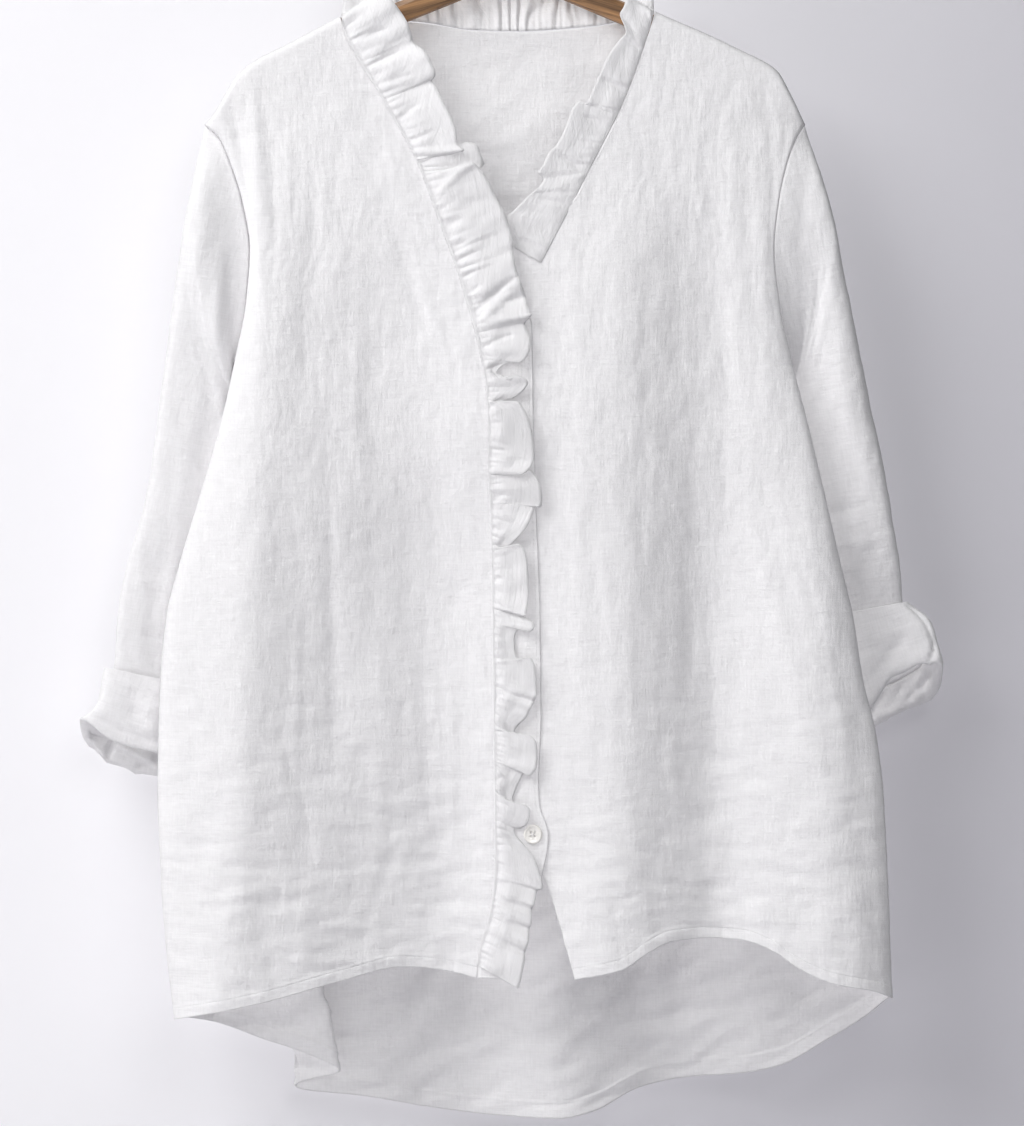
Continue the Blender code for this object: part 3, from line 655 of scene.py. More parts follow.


# %% [markdown]
# ## The two fronts
#
# Each front hangs from the shoulder seam and runs down to a curved hem. The main creases were placed:
# long soft troughs from the bust, short slanting ones where the side was crushed, and puckers that
# run out of the gathered seam. The hem is turned up twice and stitched eight millimetres from its edge.

# %% Rows of a panel, closer at the shoulder and the hem
SHOULDER_ROWS = (0.0015, 1), (0.004, 1), (0.009, 2), (0.03, 6)
HEM_ROWS = (14, 12, 10.6, 9.9, 9.2, 8.6, 8.0, 7.4, 6.4, 5, 3.5, 2, 1, 0)
FRONT_TURN, FRONT_STITCH = 9.5, 8.0  # heights of the turned hem and of its stitches


def down_shares(length, rows):
    """Shares of a front's length: close over the shoulder, even below it, and set by distance at the hem."""
    even = spread(*SHOULDER_ROWS, (1 - HEM_ROWS[0] / length, rows))
    return np.concatenate([even, [1 - far / length for far in HEM_ROWS[1:]]])


def calm(drop, top, inside):
    """Creases start below the shoulder and inside the side seams."""
    return ease((drop - top) / 30) * ease(inside / 8 + 0.1)


# %% The right front's creases
CREASES_RIGHT = columns(CREASE_NAMES, """
-222 158 -204 224 4.5 -1.6 -2
-212 176 -200 300 5 -1.2 2
-196 168 -190 330 6 1.6 1
-184 184 -176 300 4 -0.7 -2
-152 230 -158 420 8 -1.4 3
-138 400 -134 560 9 -1 -3
-140 540 -136 700 10 -1.2 4
-150 690 -165 800 9 -1 3
-193 185 -189 395 7 1.4 2
-178 205 -182 330 4 -0.8 1
-168 190 -166 300 3 0.6 -1
-150 240 -146 420 5 -0.7 3
-222 250 -214 330 5 0.8 0
-96 278 -64 366 7 -1.2 4
-84 300 -52 380 4 0.8 3
-118 330 -112 520 6 0.7 -3
-138 470 -136 690 5 -0.9 2
-160 555 -162 720 4 1 -2
-230 530 -188 562 4 1.1 3
-214 556 -176 586 4 -1 -3
-176 540 -138 530 3.5 0.8 3
-205 600 -168 640 4 0.9 2
-240 610 -214 668 5 -1 -3
-66 560 -62 735 7 -1.2 -3
-50 600 -46 760 4 0.7 2
-100 590 -104 760 8 0.9 4
-236 712 -176 700 4.5 1.1 5
-244 750 -160 765 5 -1.1 -5
-228 790 -138 776 4.5 1.1 6
-205 826 -130 838 4 -0.9 -4
-176 662 -150 742 4 -0.8 2
-84 742 -112 818 7 -1.4 -4
-78 770 -22 762 3.5 0.8 3
-86 796 -30 806 3.5 -0.8 -3
-70 820 -34 812 3 0.7 2
-160 800 -92 822 5 0.8 5
""")
PUCKERS_RIGHT = scattered(150, 5, along_seam(SEAM_RIGHT, -1, (140, 840)), (3.0, 5.5), (0.9, 2.2), 0.34)
CRUSH_RIGHT = scattered(170, 6, anywhere((-255, -30), (210, 850), (1.5, 0.7)), (4.0, 8.0), (1.6, 4.0), 0.28)

# %% Build the right front
LYING = columns("drop share", """
120 0.25
450 0.3
620 0.55
780 0.85
880 0.9
""")


def front_relief(x, drop, far, tables, seed):
    """Everything that stands on a front's plain form. The stitching pulls its hem in."""
    def wave(wide, high, number):
        return noise(x / wide, drop / high, seed + number)

    lying = read(LYING, "share", drop + 30 * wave(90, 90, 20))
    height = 0.75 * sum(creases(table, x, drop) for table in tables)
    height = height + (0.36 + 0.16 * lying) * crumple(x, drop, seed, lying)
    sat_on = noise(x / 34, (drop + 8 * wave(60, 60, 0)) / 11, seed + 8)
    height = height + 1.1 * ease(2 * lying - 0.8) * sat_on
    height = height + 0.6 * wave(24, 46, 9) + 0.4 * wave(14, 26, 10)
    pucker = 0.42 * noise(x / 5.5, far / 30, seed + 12) * ridge(far - 7.0, 9.0)
    edge = 0.5 * noise(x / 40, far / 40, seed + 13) * ease(1 - far / 30)
    return height * ease(far / 10 + 0.25) - 0.4 * ridge(far - FRONT_STITCH, 0.9) + pucker + edge


def front(node, x, drop, inside, tables, seed, area, share=1.0, seam=0.0, step=0.0):
    """Lays a front's patch on the body, a step forward, with its creases."""
    far = drop[-1:] - drop
    still = calm(drop, read(SHOULDER, "drop", x), inside) * share
    plain = to_grid(x, -body_depth(x, drop, "front") - step, drop)
    grid = push(plain, still * front_relief(x, drop, far, tables, seed) + seam)
    cloth(node, grid, turned=far < FRONT_TURN)
    return grid


ACROSS_RIGHT = spread((0.012, 2), (0.04, 3), (0.08, 4), (0.97, 110), (1.0, 5))
DOWN_RIGHT = down_shares(735.0, 285)
x, drop = patch(
    ACROSS_RIGHT, DOWN_RIGHT, line_points(SHOULDER, TIP_RIGHT, NECK_RIGHT[0], ACROSS_RIGHT), HEM_FRONT_RIGHT,
    edge_points(BODY, "right", ARMHOLE_TOP, HEM_END_RIGHT, DOWN_RIGHT),
    edge_points(SEAM_RIGHT, "x", NECK_RIGHT[1], FRONT_HEM, DOWN_RIGHT),
)
near_band = ease(1 + (x - read(SEAM_RIGHT, "x", drop)) / 45.0) * ease((drop - ARMHOLE_TOP) / 45.0)
inside, marks = x - read(BODY, "right", drop), (CREASES_RIGHT, PUCKERS_RIGHT, CRUSH_RIGHT)
FRONT_RIGHT_GRID = front("front_right", x, drop, inside, marks, 40, 0.175, step=BAND_LIFT * near_band)

# %% Build the left front
CREASES_LEFT = columns(CREASE_NAMES, """
46 250 46 660 15 1.6 2
128 210 130 430 10 -0.8 -4
132 400 128 650 10 -0.9 5
160 180 166 420 9 1.6 4
186 170 196 330 5 -1 3
206 190 204 300 4 -0.9 -2
198 560 214 700 9 1.4 4
46 330 50 560 8 0.6 3
66 300 74 520 6 -0.35 -3
84 260 88 470 6 0.4 4
104 300 98 560 7 -0.7 -4
128 280 126 480 5 0.7 3
150 300 158 520 6 -0.8 4
178 230 190 430 6 1 3
196 250 204 400 5 -0.9 2
60 520 62 740 7 -0.9 3
86 540 94 700 5 0.8 -4
120 520 112 720 6 0.9 4
142 560 150 690 5 -0.8 3
176 500 206 640 8 1.2 6
206 520 232 620 5 -0.9 4
96 640 150 672 4.5 0.9 4
120 672 190 700 4.5 -1 5
136 700 206 716 4 1 5
110 728 184 744 4.5 -0.9 4
146 752 232 770 4.5 1 6
128 776 206 790 4 -0.9 4
60 770 120 786 4 0.8 4
208 660 262 640 5 0.9 -4
200 740 268 722 5 -0.9 -5
226 782 268 812 4 0.8 3
70 800 100 776 4 -0.8 3
232 600 250 700 6 0.9 2
""")
CRUSH_LEFT = scattered(190, 8, anywhere((5, 275), (210, 840), (1.5, 0.7)), (4.0, 8.0), (1.6, 4.0), 0.28)
PUCKERS_LEFT = scattered(40, 9, along_seam(EDGE_LEFT, 1, (140, 330)), (3.0, 4.0), (0.9, 2.0), 0.28)
PLACKET = columns("drop under", """
262 0
276 6
288 20
300 33
310 29
330 15
350 6
367 0
""")  # how far the button stand reaches under the frill's end
ACROSS_LEFT = 1 - spread((0.012, 2), (0.04, 3), (0.08, 4), (0.98, 114), (1.0, 4))[::-1]
DOWN_LEFT = down_shares(720.0, 280)
stand = edge_points(EDGE_LEFT, "x", NECK_LEFT[1], FRONT_HEM, DOWN_LEFT)
stand[:, 0] -= read(PLACKET, "under", stand[:, 1])
x, drop = patch(
    ACROSS_LEFT, DOWN_LEFT, line_points(SHOULDER, NECK_LEFT[0], TIP_LEFT, ACROSS_LEFT), HEM_FRONT_LEFT,
    stand, edge_points(BODY, "left", ARMHOLE_TOP, HEM_END_LEFT, DOWN_LEFT),
)
inside, marks = read(BODY, "left", drop) - x, (CREASES_LEFT, PUCKERS_LEFT, CRUSH_LEFT)
FRONT_LEFT_GRID = front(
    "front_left", x, drop, inside, marks, 60, 0.18,
    share=1 - 0.85 * ease((24 - x) / 14) * ease((drop - 300) / 20) * ease((790 - drop) / 20),
    seam=-0.5 * ridge(inside - 5.5, 1.2) * ease((drop - 640) / 60),
)

# %% [markdown]
# ## The back
#
# The back is longer than the fronts and its hem is wider. Near the right corner the cloth doubles back on
# itself in one deep fold, which a formula gives by pushing the points sideways and apart.

# %% Build the back
FOLD_MIDDLE, FOLD_HALF, FOLD_FROM = 0.197, 0.039, 0.72  # shares of the back's width and length
FOLD_SHIFT, FOLD_LAYER, FOLD_FORWARD = 35.0, 5.0, 9.0
BACK_TURN, BACK_STITCH, BACK_LENGTH = 13.0, 12.0, 840
BACK_HEM_ROWS = (16, 14.6, 13.6, 12.8, 12, 11.2, 10.4, 9, 7, 5, 3, 1.5, 0)
CREASES_BACK = columns(CREASE_NAMES, """
-150 230 -140 520 10 1.6 8
-90 260 -100 640 12 -1.8 -8
-40 220 -30 560 9 1.2 6
20 260 34 700 12 -1.6 8
70 230 60 520 9 1.2 -6
120 260 136 640 11 1.7 8
175 300 190 720 10 -1.5 6
-190 420 -205 760 9 1.3 -6
-20 600 -40 900 10 1.4 8
90 640 110 930 11 -1.3 8
-120 680 -150 860 9 1.2 6
-60 820 40 846 6 0.9 8
60 842 150 826 6 -0.9 -6
-170 850 -90 872 6 0.9 6
120 880 200 862 6 0.9 5
-40 900 60 918 5 -0.8 6
""")
CRUSH_BACK = scattered(220, 12, anywhere((-240, 230), (180, 940), (0.9, 0.9)), (4.0, 9.0), (2.0, 4.5), 0.3)
close = (FOLD_MIDDLE - 3 * FOLD_HALF, 6), (FOLD_MIDDLE + 3 * FOLD_HALF, 60)
ACROSS_BACK = spread((0.012, 2), (0.04, 3), *close, (0.96, 66), (0.988, 3), (1.0, 2))
above_hem = spread(*SHOULDER_ROWS, (1.0, 200))[:-1] * (1 - BACK_HEM_ROWS[0] / BACK_LENGTH)
DOWN_BACK = np.concatenate([above_hem, [1 - far / BACK_LENGTH for far in BACK_HEM_ROWS]])
top_x = TIP_RIGHT + (TIP_LEFT - TIP_RIGHT) * ACROSS_BACK
in_neck = (top_x > NECK_RIGHT[0]) & (top_x < NECK_LEFT[0])
top_drop = np.where(in_neck, read(BACK_NECK, "drop", top_x), read(SHOULDER, "drop", top_x))
x, drop = patch(
    ACROSS_BACK, DOWN_BACK, np.stack([top_x, top_drop], -1), HEM_BACK,
    edge_points(BODY, "right", ARMHOLE_TOP, HEM_END_RIGHT, DOWN_BACK),
    edge_points(BODY, "left", ARMHOLE_TOP, HEM_END_LEFT, DOWN_BACK),
)
from_fold = (ACROSS_BACK[None, :] - FOLD_MIDDLE) / FOLD_HALF
grows = ease((DOWN_BACK[:, None] - FOLD_FROM) / (1 - FOLD_FROM))
shift = -from_fold * np.exp(0.5 - from_fold**2 / 2) * grows
far = drop[-1:] - drop
inside = np.minimum(x - read(BODY, "right", drop), read(BODY, "left", drop) - x)
lying = read(LYING, "share", drop)
relief = 1.5 * (creases(CREASES_BACK, x, drop) + creases(CRUSH_BACK, x, drop))
relief = relief + (0.4 + 0.7 * lying) * crumple(x, drop + 0.35 * x, 90, lying)
relief = relief + 0.9 * noise(x / 26, drop / 26, 95)
aslant = (drop + 0.3 * x + 12 * noise(x / 50, drop / 50, 98)) / 11
relief = relief + 2.6 * noise(x / 40, aslant, 96) * lying
sewn_in = -0.3 * ridge(far - BACK_STITCH, 1.0) + 0.3 * noise(x / 6, far / 30, 97) * ridge(far - 11.0, 10.0)
height = calm(drop, top_drop[None], inside) * (relief * ease(far / 12 + 0.2)) + sewn_in
sag = 8.0 * np.exp(-(((x + 8) / 62) ** 4)) * ease((drop - 150) / 70) * ease((340 - drop) / 90)
y = body_depth(x, drop, "back") - FOLD_LAYER * shift - FOLD_FORWARD * np.maximum(shift, 0) - sag
BACK_GRID = push(to_grid(x + FOLD_SHIFT * shift, y, drop)[:, ::-1], height[:, ::-1])
cloth("back", BACK_GRID, turned=(far < BACK_TURN)[:, ::-1])

# %% [markdown]
# ## Sleeves and cuffs
#
# A sleeve is a flattened tube. It is drawn by a few rings, each an outer and an inner end and a half
# depth, and the cloth runs smoothly through them. Long troughs fall from the shoulder, and shorter ones
# cross them where the arm hangs against the body. The cuffs are the sleeve's end rolled up twice.

# %% Rings and what runs through them
RING_NAMES = "outer_x outer_drop outer_y inner_x inner_drop inner_y depth dip"
SLEEVE_RIGHT = columns(RING_NAMES, """
-242 254 3 -208 398 9 12 0
-253.5 327 8 -197 440 27 14 0
-263 400 13 -176 484 37 15.5 0
-280.5 502.5 17 -178 548 43 16 0
-290 533 19 -182 574 44 16 0
-298 581 21 -187 612 46 15.5 1
-300.5 613 23 -191 643 48 14.5 2
""")
SLEEVE_LEFT = columns(RING_NAMES, """
234 258 3 207 398 9 12 0
249 327 8 197 437 27 14 0
262 390 13 176 476 37 15.5 0
277.5 465 17 176 522 43 16 0
285.5 510 19 181 546 44 16 0
290 540 21 186 566 46 15.5 1
292 564 23 190 587 48 14.5 2
""")
CUFF_RIGHT = columns(RING_NAMES, """
-307.5 615 24 -187 641 49 19 2
-312 637 24 -193 672 49 20.5 4.5
-321 649 24 -198 699 49 20 7
-326 656.5 24 -202 713 49 17.5 9
-323 656 24.5 -206 711 49 14.5 9
-312 643 24.5 -205 691 49 12.8 6.5
""")
CUFF_LEFT = columns(RING_NAMES, """
295.5 565.5 24 186 586 49 19 2
310 577.5 24 190 614 49 20.5 5
318 597 24 197 650 49 21 9
319.5 621 24 203 680 49 17.5 13
316 619.5 24.5 208 678 49 14.5 13
308 606 24.5 206 656 49 12.8 9.5
""")
AROUND = 88  # points round a sleeve, front first from its outer end
ANGLE = 2 * math.pi * np.arange(AROUND) / AROUND
INWARD = (1 - np.cos(ANGLE)) / 2


def ring_points(rings, row, proud=0.0, skew=0.0):
    """A ring of a tube. proud moves its front half out, with skew 1 most at its outer end."""
    ring = {name: values[row] for name, values in rings.items()}
    power = np.where(np.cos(ANGLE) > 0, 6.0, 2.5)
    forward = np.sign(np.sin(ANGLE)) * (1 - np.abs(np.cos(ANGLE)) ** power) ** (1 / power)
    ends = ((ring["outer_" + k], ring["inner_" + k]) for k in ("x", "y", "drop"))
    x, y, drop = (outer + (inner - outer) * INWARD for outer, inner in ends)
    y = y - ring["depth"] * forward
    y = y - proud * np.maximum(forward, 0) * ((1 - skew) * np.sin(ANGLE) + skew * (1 - INWARD))
    return to_grid(x, y, drop - ring["dip"] * forward)


def through(loops, at, rows):
    """Loops between given ones, on a smooth curve through them."""
    loops, at = np.asarray(loops), np.asarray(at, float)
    step = np.diff(at)[:, None, None]
    slope = np.diff(loops, axis=0) / step
    middle = (slope[:-1] * step[1:] + slope[1:] * step[:-1]) / (step[:-1] + step[1:])
    lean = np.concatenate([slope[:1], middle, slope[-1:]])
    i = np.clip(np.searchsorted(at, rows, "right") - 1, 0, len(at) - 2)
    t = ((rows - at[i]) / np.diff(at)[i])[:, None, None]
    return bend(t, step[i], (loops[i], loops[i + 1]), (lean[i], lean[i + 1]))


def smooth_tube(loops, rows):
    gaps = [np.linalg.norm(b - a, axis=1).mean() for a, b in zip(loops, loops[1:])]
    far = np.concatenate([[0], np.cumsum(gaps)])
    return through(loops, far, np.linspace(0, far[-1], rows))


def tube_relief(grid, seed, front_table, back_table, calm_ends):
    """Creases and crumple on a tube, still at its two ends and along the seam at its inner edge."""
    front = ease(np.sin(ANGLE) * 2 + 0.2)[None, :]
    x, drop = grid[..., 0], -grid[..., 2]
    height = front * creases(front_table, x, drop) + (1 - front) * creases(back_table, x, drop)
    around, along = walked(grid, 1), walked(grid, 0)
    half = around[:, -1:] / 2
    around = np.where(np.sin(ANGLE)[None, :] >= 0, around, around - 2 * half)
    height = height + 0.15 * crumple(around, along, seed, 0.35 + 0 * along)
    height = height + 0.55 * noise(around / 20, along / 40, seed + 11)
    height = height + 0.4 * noise(around / 34, along / 16, seed + 12)
    still = ease((half - np.abs(around)) / 10 + 0.05)
    return height * still * ease(along / calm_ends[0]) * ease((along[-1:] - along) / calm_ends[1])


# %% Sleeve creases
SLEEVE_CREASES_RIGHT = columns(CREASE_NAMES, """
-212 330 -226 520 9 -1.6 4
-230 480 -248 620 9 -1.6 -4
-228 225 -250 470 13 2.6 3
-246 420 -268 600 11 1.6 3
-226 236 -262 500 7 -1.2 6
-218 300 -216 460 7 2.2 -4
-244 270 -268 430 6 1.5 3
-232 420 -236 590 8 -1.6 5
-205 470 -214 620 8 1.5 -4
-256 500 -272 640 6 -1.3 -3
-280 520 -284 620 5 1 2
-196 500 -228 520 5 1 3
-192 540 -236 556 5 -1 4
-250 560 -290 548 5 0.9 -3
-214 580 -262 596 5 0.9 4
-228 600 -290 590 4 -0.8 -3
""")
SLEEVE_CREASES_LEFT = columns(CREASE_NAMES, """
206 360 224 500 9 -1.6 -3
222 470 236 580 9 -1.4 3
226 214 244 420 11 2.2 -4
240 380 266 540 10 1.8 4
252 300 270 470 5 -1.4 3
204 200 222 450 12 1 -4
206 300 236 500 9 -1 -4
232 300 254 460 6 1.2 4
226 440 262 560 8 1.4 -4
210 450 232 560 7 -1.4 5
250 430 276 540 6 -1.1 -3
200 470 240 486 5 1 3
216 500 270 488 5 -1 -3
206 530 262 546 5 1 4
240 520 284 512 4 0.8 -3
""")
HIDDEN_RIGHT = columns(CREASE_NAMES, """
-230 260 -258 480 10 2.6 5
-218 330 -226 520 9 -2 4
-250 420 -276 600 8 1.6 -4
-206 480 -222 610 8 1.5 3
-200 540 -270 556 6 -1 4
-214 590 -280 596 5 0.9 -3
""")
HIDDEN_LEFT = columns(CREASE_NAMES, """
222 260 246 440 10 2.4 -5
212 350 226 500 9 -2 4
244 380 268 520 8 1.5 4
204 460 220 560 7 1.4 -3
206 500 266 514 6 -1 4
220 540 276 536 5 0.9 -3
""")


SLEEVE_ROWS, SLEEVE_LEAN, SEAM_INSET = 150, 0.16, 0.7  # the lean is in radians


def sleeve(side, rings, cuff_rings, outward, tables, seed, proud, skew):
    """A sleeve leaves the armhole's seam and ends inside its cuff."""
    seam_drop = ARMHOLE_TOP + SEAM_INSET + (ARMHOLE_END - ARMHOLE_TOP - 2 * SEAM_INSET) * INWARD
    seam_y = -np.sign(np.round(np.sin(ANGLE), 6)) * armhole_depth(seam_drop, side)
    seam = to_grid(read(BODY, side, seam_drop), seam_y, seam_drop)
    rest = [ring_points(rings, row, out, skew) for row, out in enumerate(proud)]
    off_seam = seam + 0.18 * (rest[0] - seam)
    off_seam[:, 0] += outward * 1.5 * np.abs(np.sin(ANGLE))
    end = ring_points(cuff_rings, len(cuff_rings["depth"]) - 1)
    grid = smooth_tube([seam, off_seam, *rest, end + 0.016 * (rest[-1] - end)], SLEEVE_ROWS)
    relief = tube_relief(grid, seed, *tables, (14.0, 30.0))
    grid = push(grid[:, ::-outward], relief[:, ::-outward], closed=True)
    cloth(
        f"sleeve_{side}", grid, closed=True,
        lean=-outward * SLEEVE_LEAN,
    )


CREASED_RIGHT, CREASED_LEFT = (SLEEVE_CREASES_RIGHT, HIDDEN_RIGHT), (SLEEVE_CREASES_LEFT, HIDDEN_LEFT)
PROUD_RIGHT, PROUD_LEFT = (12, 9, 5, 2, 0, 0, 0), (8, 12, 15, 15, 12, 7, 2)
sleeve("right", SLEEVE_RIGHT, CUFF_RIGHT, -1, CREASED_RIGHT, 120, PROUD_RIGHT, 0.0)
sleeve("left", SLEEVE_LEFT, CUFF_LEFT, 1, CREASED_LEFT, 140, PROUD_LEFT, 0.9)

# %% Rolled cuffs
CUFF_CREASES_RIGHT = columns(CREASE_NAMES, """
-288 628 -284 664 5 -1.8 1
-272 634 -270 690 4 1.2 -2
-262 630 -252 700 5 -1.4 2
-246 640 -240 700 4 1 1
-296 640 -240 656 5 1.2 3
-300 660 -228 690 5 -1.3 4
-286 648 -292 700 5 1 2
-256 650 -262 702 6 -1.1 2
-230 660 -238 710 5 0.9 -2
-316 648 -280 676 4 -0.9 2
""")
CUFF_CREASES_LEFT = columns(CREASE_NAMES, """
284 561 316 604 2 -2.8 9
316.5 590 307 620 1.8 -2.6 2
236 590 262 628 8 1.8 3
292 586 276 616 7 -1.2 3
262 580 268 660 6 1.2 3
286 576 292 640 5 -1.1 2
240 590 250 670 6 -1.2 3
218 600 226 680 6 1 -2
300 590 276 640 5 0.9 -3
232 610 300 596 5 -0.8 3
""")
MOUTH_RIGHT = columns(CREASE_NAMES, """
-324 664 -300 666 2.5 2.6 -1
-320 672 -304 692 2.5 -2.6 1
-300 664 -312 692 3 2.4 1
-300 672 -262 694 3 -2.4 1
-292 694 -258 676 3 2 -1
-284 672 -262 700 2.5 -1.8 1
-262 680 -236 704 3 1.8 1
""")
MOUTH_LEFT = columns(CREASE_NAMES, """
318 612 296 640 3 2.6 1
308 606 300 650 3 -2.4 1
300 606 282 654 3 2.4 -1
288 612 284 660 2.5 -2.2 1
284 620 262 664 3 2.2 1
270 632 252 676 3 -2 -1
316 640 270 650 2.5 -1.6 1
""")
LIP_RIGHT = columns("x front back", """
-327 0 0
-319 -3 -7
-310 -7 -12
-300 -9 -10
-284 -7 -8
-266 -3 -4
-230 0 0
""")
LIP_LEFT = columns("x front back", """
225 0 0
250 -16 0
264 -12 0
274 -3 0
284 6 0
300 6 0
314 3 -2
321 0 0
""")
CUFF_ROWS, CUFF_WALL, CUFF_LEAN, MOUTH_RISE = 84, 1.2, 0.3, 1.8


def cuff(side, rings, outward, table, mouth, lip, seed):
    """A rolled cuff. Its layers lie on each other, so a crease moves them all the same way. The lip's table
    says how far the mouth's two edges lie above the plain line between their ends."""
    grid = smooth_tube([ring_points(rings, row) for row in range(len(rings["depth"]))], CUFF_ROWS)
    front = ease(np.sin(ANGLE) * 3)[None, :]
    near_lip = ease(np.linspace(0, 1, CUFF_ROWS) * 1.9 - 0.25)[:, None]
    x = grid[..., 0]
    grid[..., 2] += near_lip * (front * read(lip, "front", x) + (1 - front) * read(lip, "back", x))
    relief = tube_relief(grid, seed, table, mouth | {"rise": mouth["rise"] * MOUTH_RISE}, (6.0, 8.0))
    from_middle = grid - grid.mean(1, keepdims=True)
    from_middle /= np.maximum(np.linalg.norm(from_middle, axis=-1, keepdims=True), 1.0)
    grid, from_middle = grid[:, ::-outward], from_middle[:, ::-outward]
    facing = ((push(grid, np.ones(grid.shape[:2]), closed=True) - grid) * from_middle).sum(-1)
    grid = push(grid, 0.9 * relief[:, ::-outward] * np.clip(facing * 3, -1, 1), closed=True)
    cloth(
        f"cuff_{side}", grid, closed=True,
        wall=CUFF_WALL, lean=-outward * CUFF_LEAN,
    )


cuff("right", CUFF_RIGHT, -1, CUFF_CREASES_RIGHT, MOUTH_RIGHT, LIP_RIGHT, 160)
cuff("left", CUFF_LEFT, 1, CUFF_CREASES_LEFT, MOUTH_LEFT, LIP_LEFT, 170)

# %% [markdown]
# ## The buttonhole band
#
# The right front ends at the gathered seam, and a narrow doubled band carries it on to the edge. The
# frill hides most of it. Its free edge is stitched two millimetres in.

# %% Build the band
BAND_WALL, BAND_STITCH = 1.1, 2.0
drop = NECK_RIGHT[1] + (FRONT_HEM - NECK_RIGHT[1]) * DOWN_RIGHT[:, None]
drop = drop[drop[:, 0] > EDGE_BAND["drop"][0]]
seam, edge = read(SEAM_RIGHT, "x", drop), read(EDGE_BAND, "x", drop)
x = seam + (edge - seam) * spread((0.8, 8), (1.0, 6))[None, :]
drop = drop + 0 * x
relief = 0.25 * noise(x / 16, drop / 16, 180) + 0.1 * crumple(x, drop, 181, 0.6 + 0 * x)
relief = relief - 0.25 * ridge(edge - x - BAND_STITCH, 0.7)
BAND_GRID = push(to_grid(x, -body_depth(x, drop, "front") - BAND_LIFT, drop), relief)
cloth("band", BAND_GRID, wall=BAND_WALL)

# %% [markdown]
# ## Frills
#
# A frill is a straight strip gathered on one long edge. Sewn down, it fans out into folds like a leaf's.
# Each row of the table is one point of the free edge: the drop of its place on the seam, where it lies,
# and how far it stands off the cloth. Where the edge turns back, the frill folds over itself.

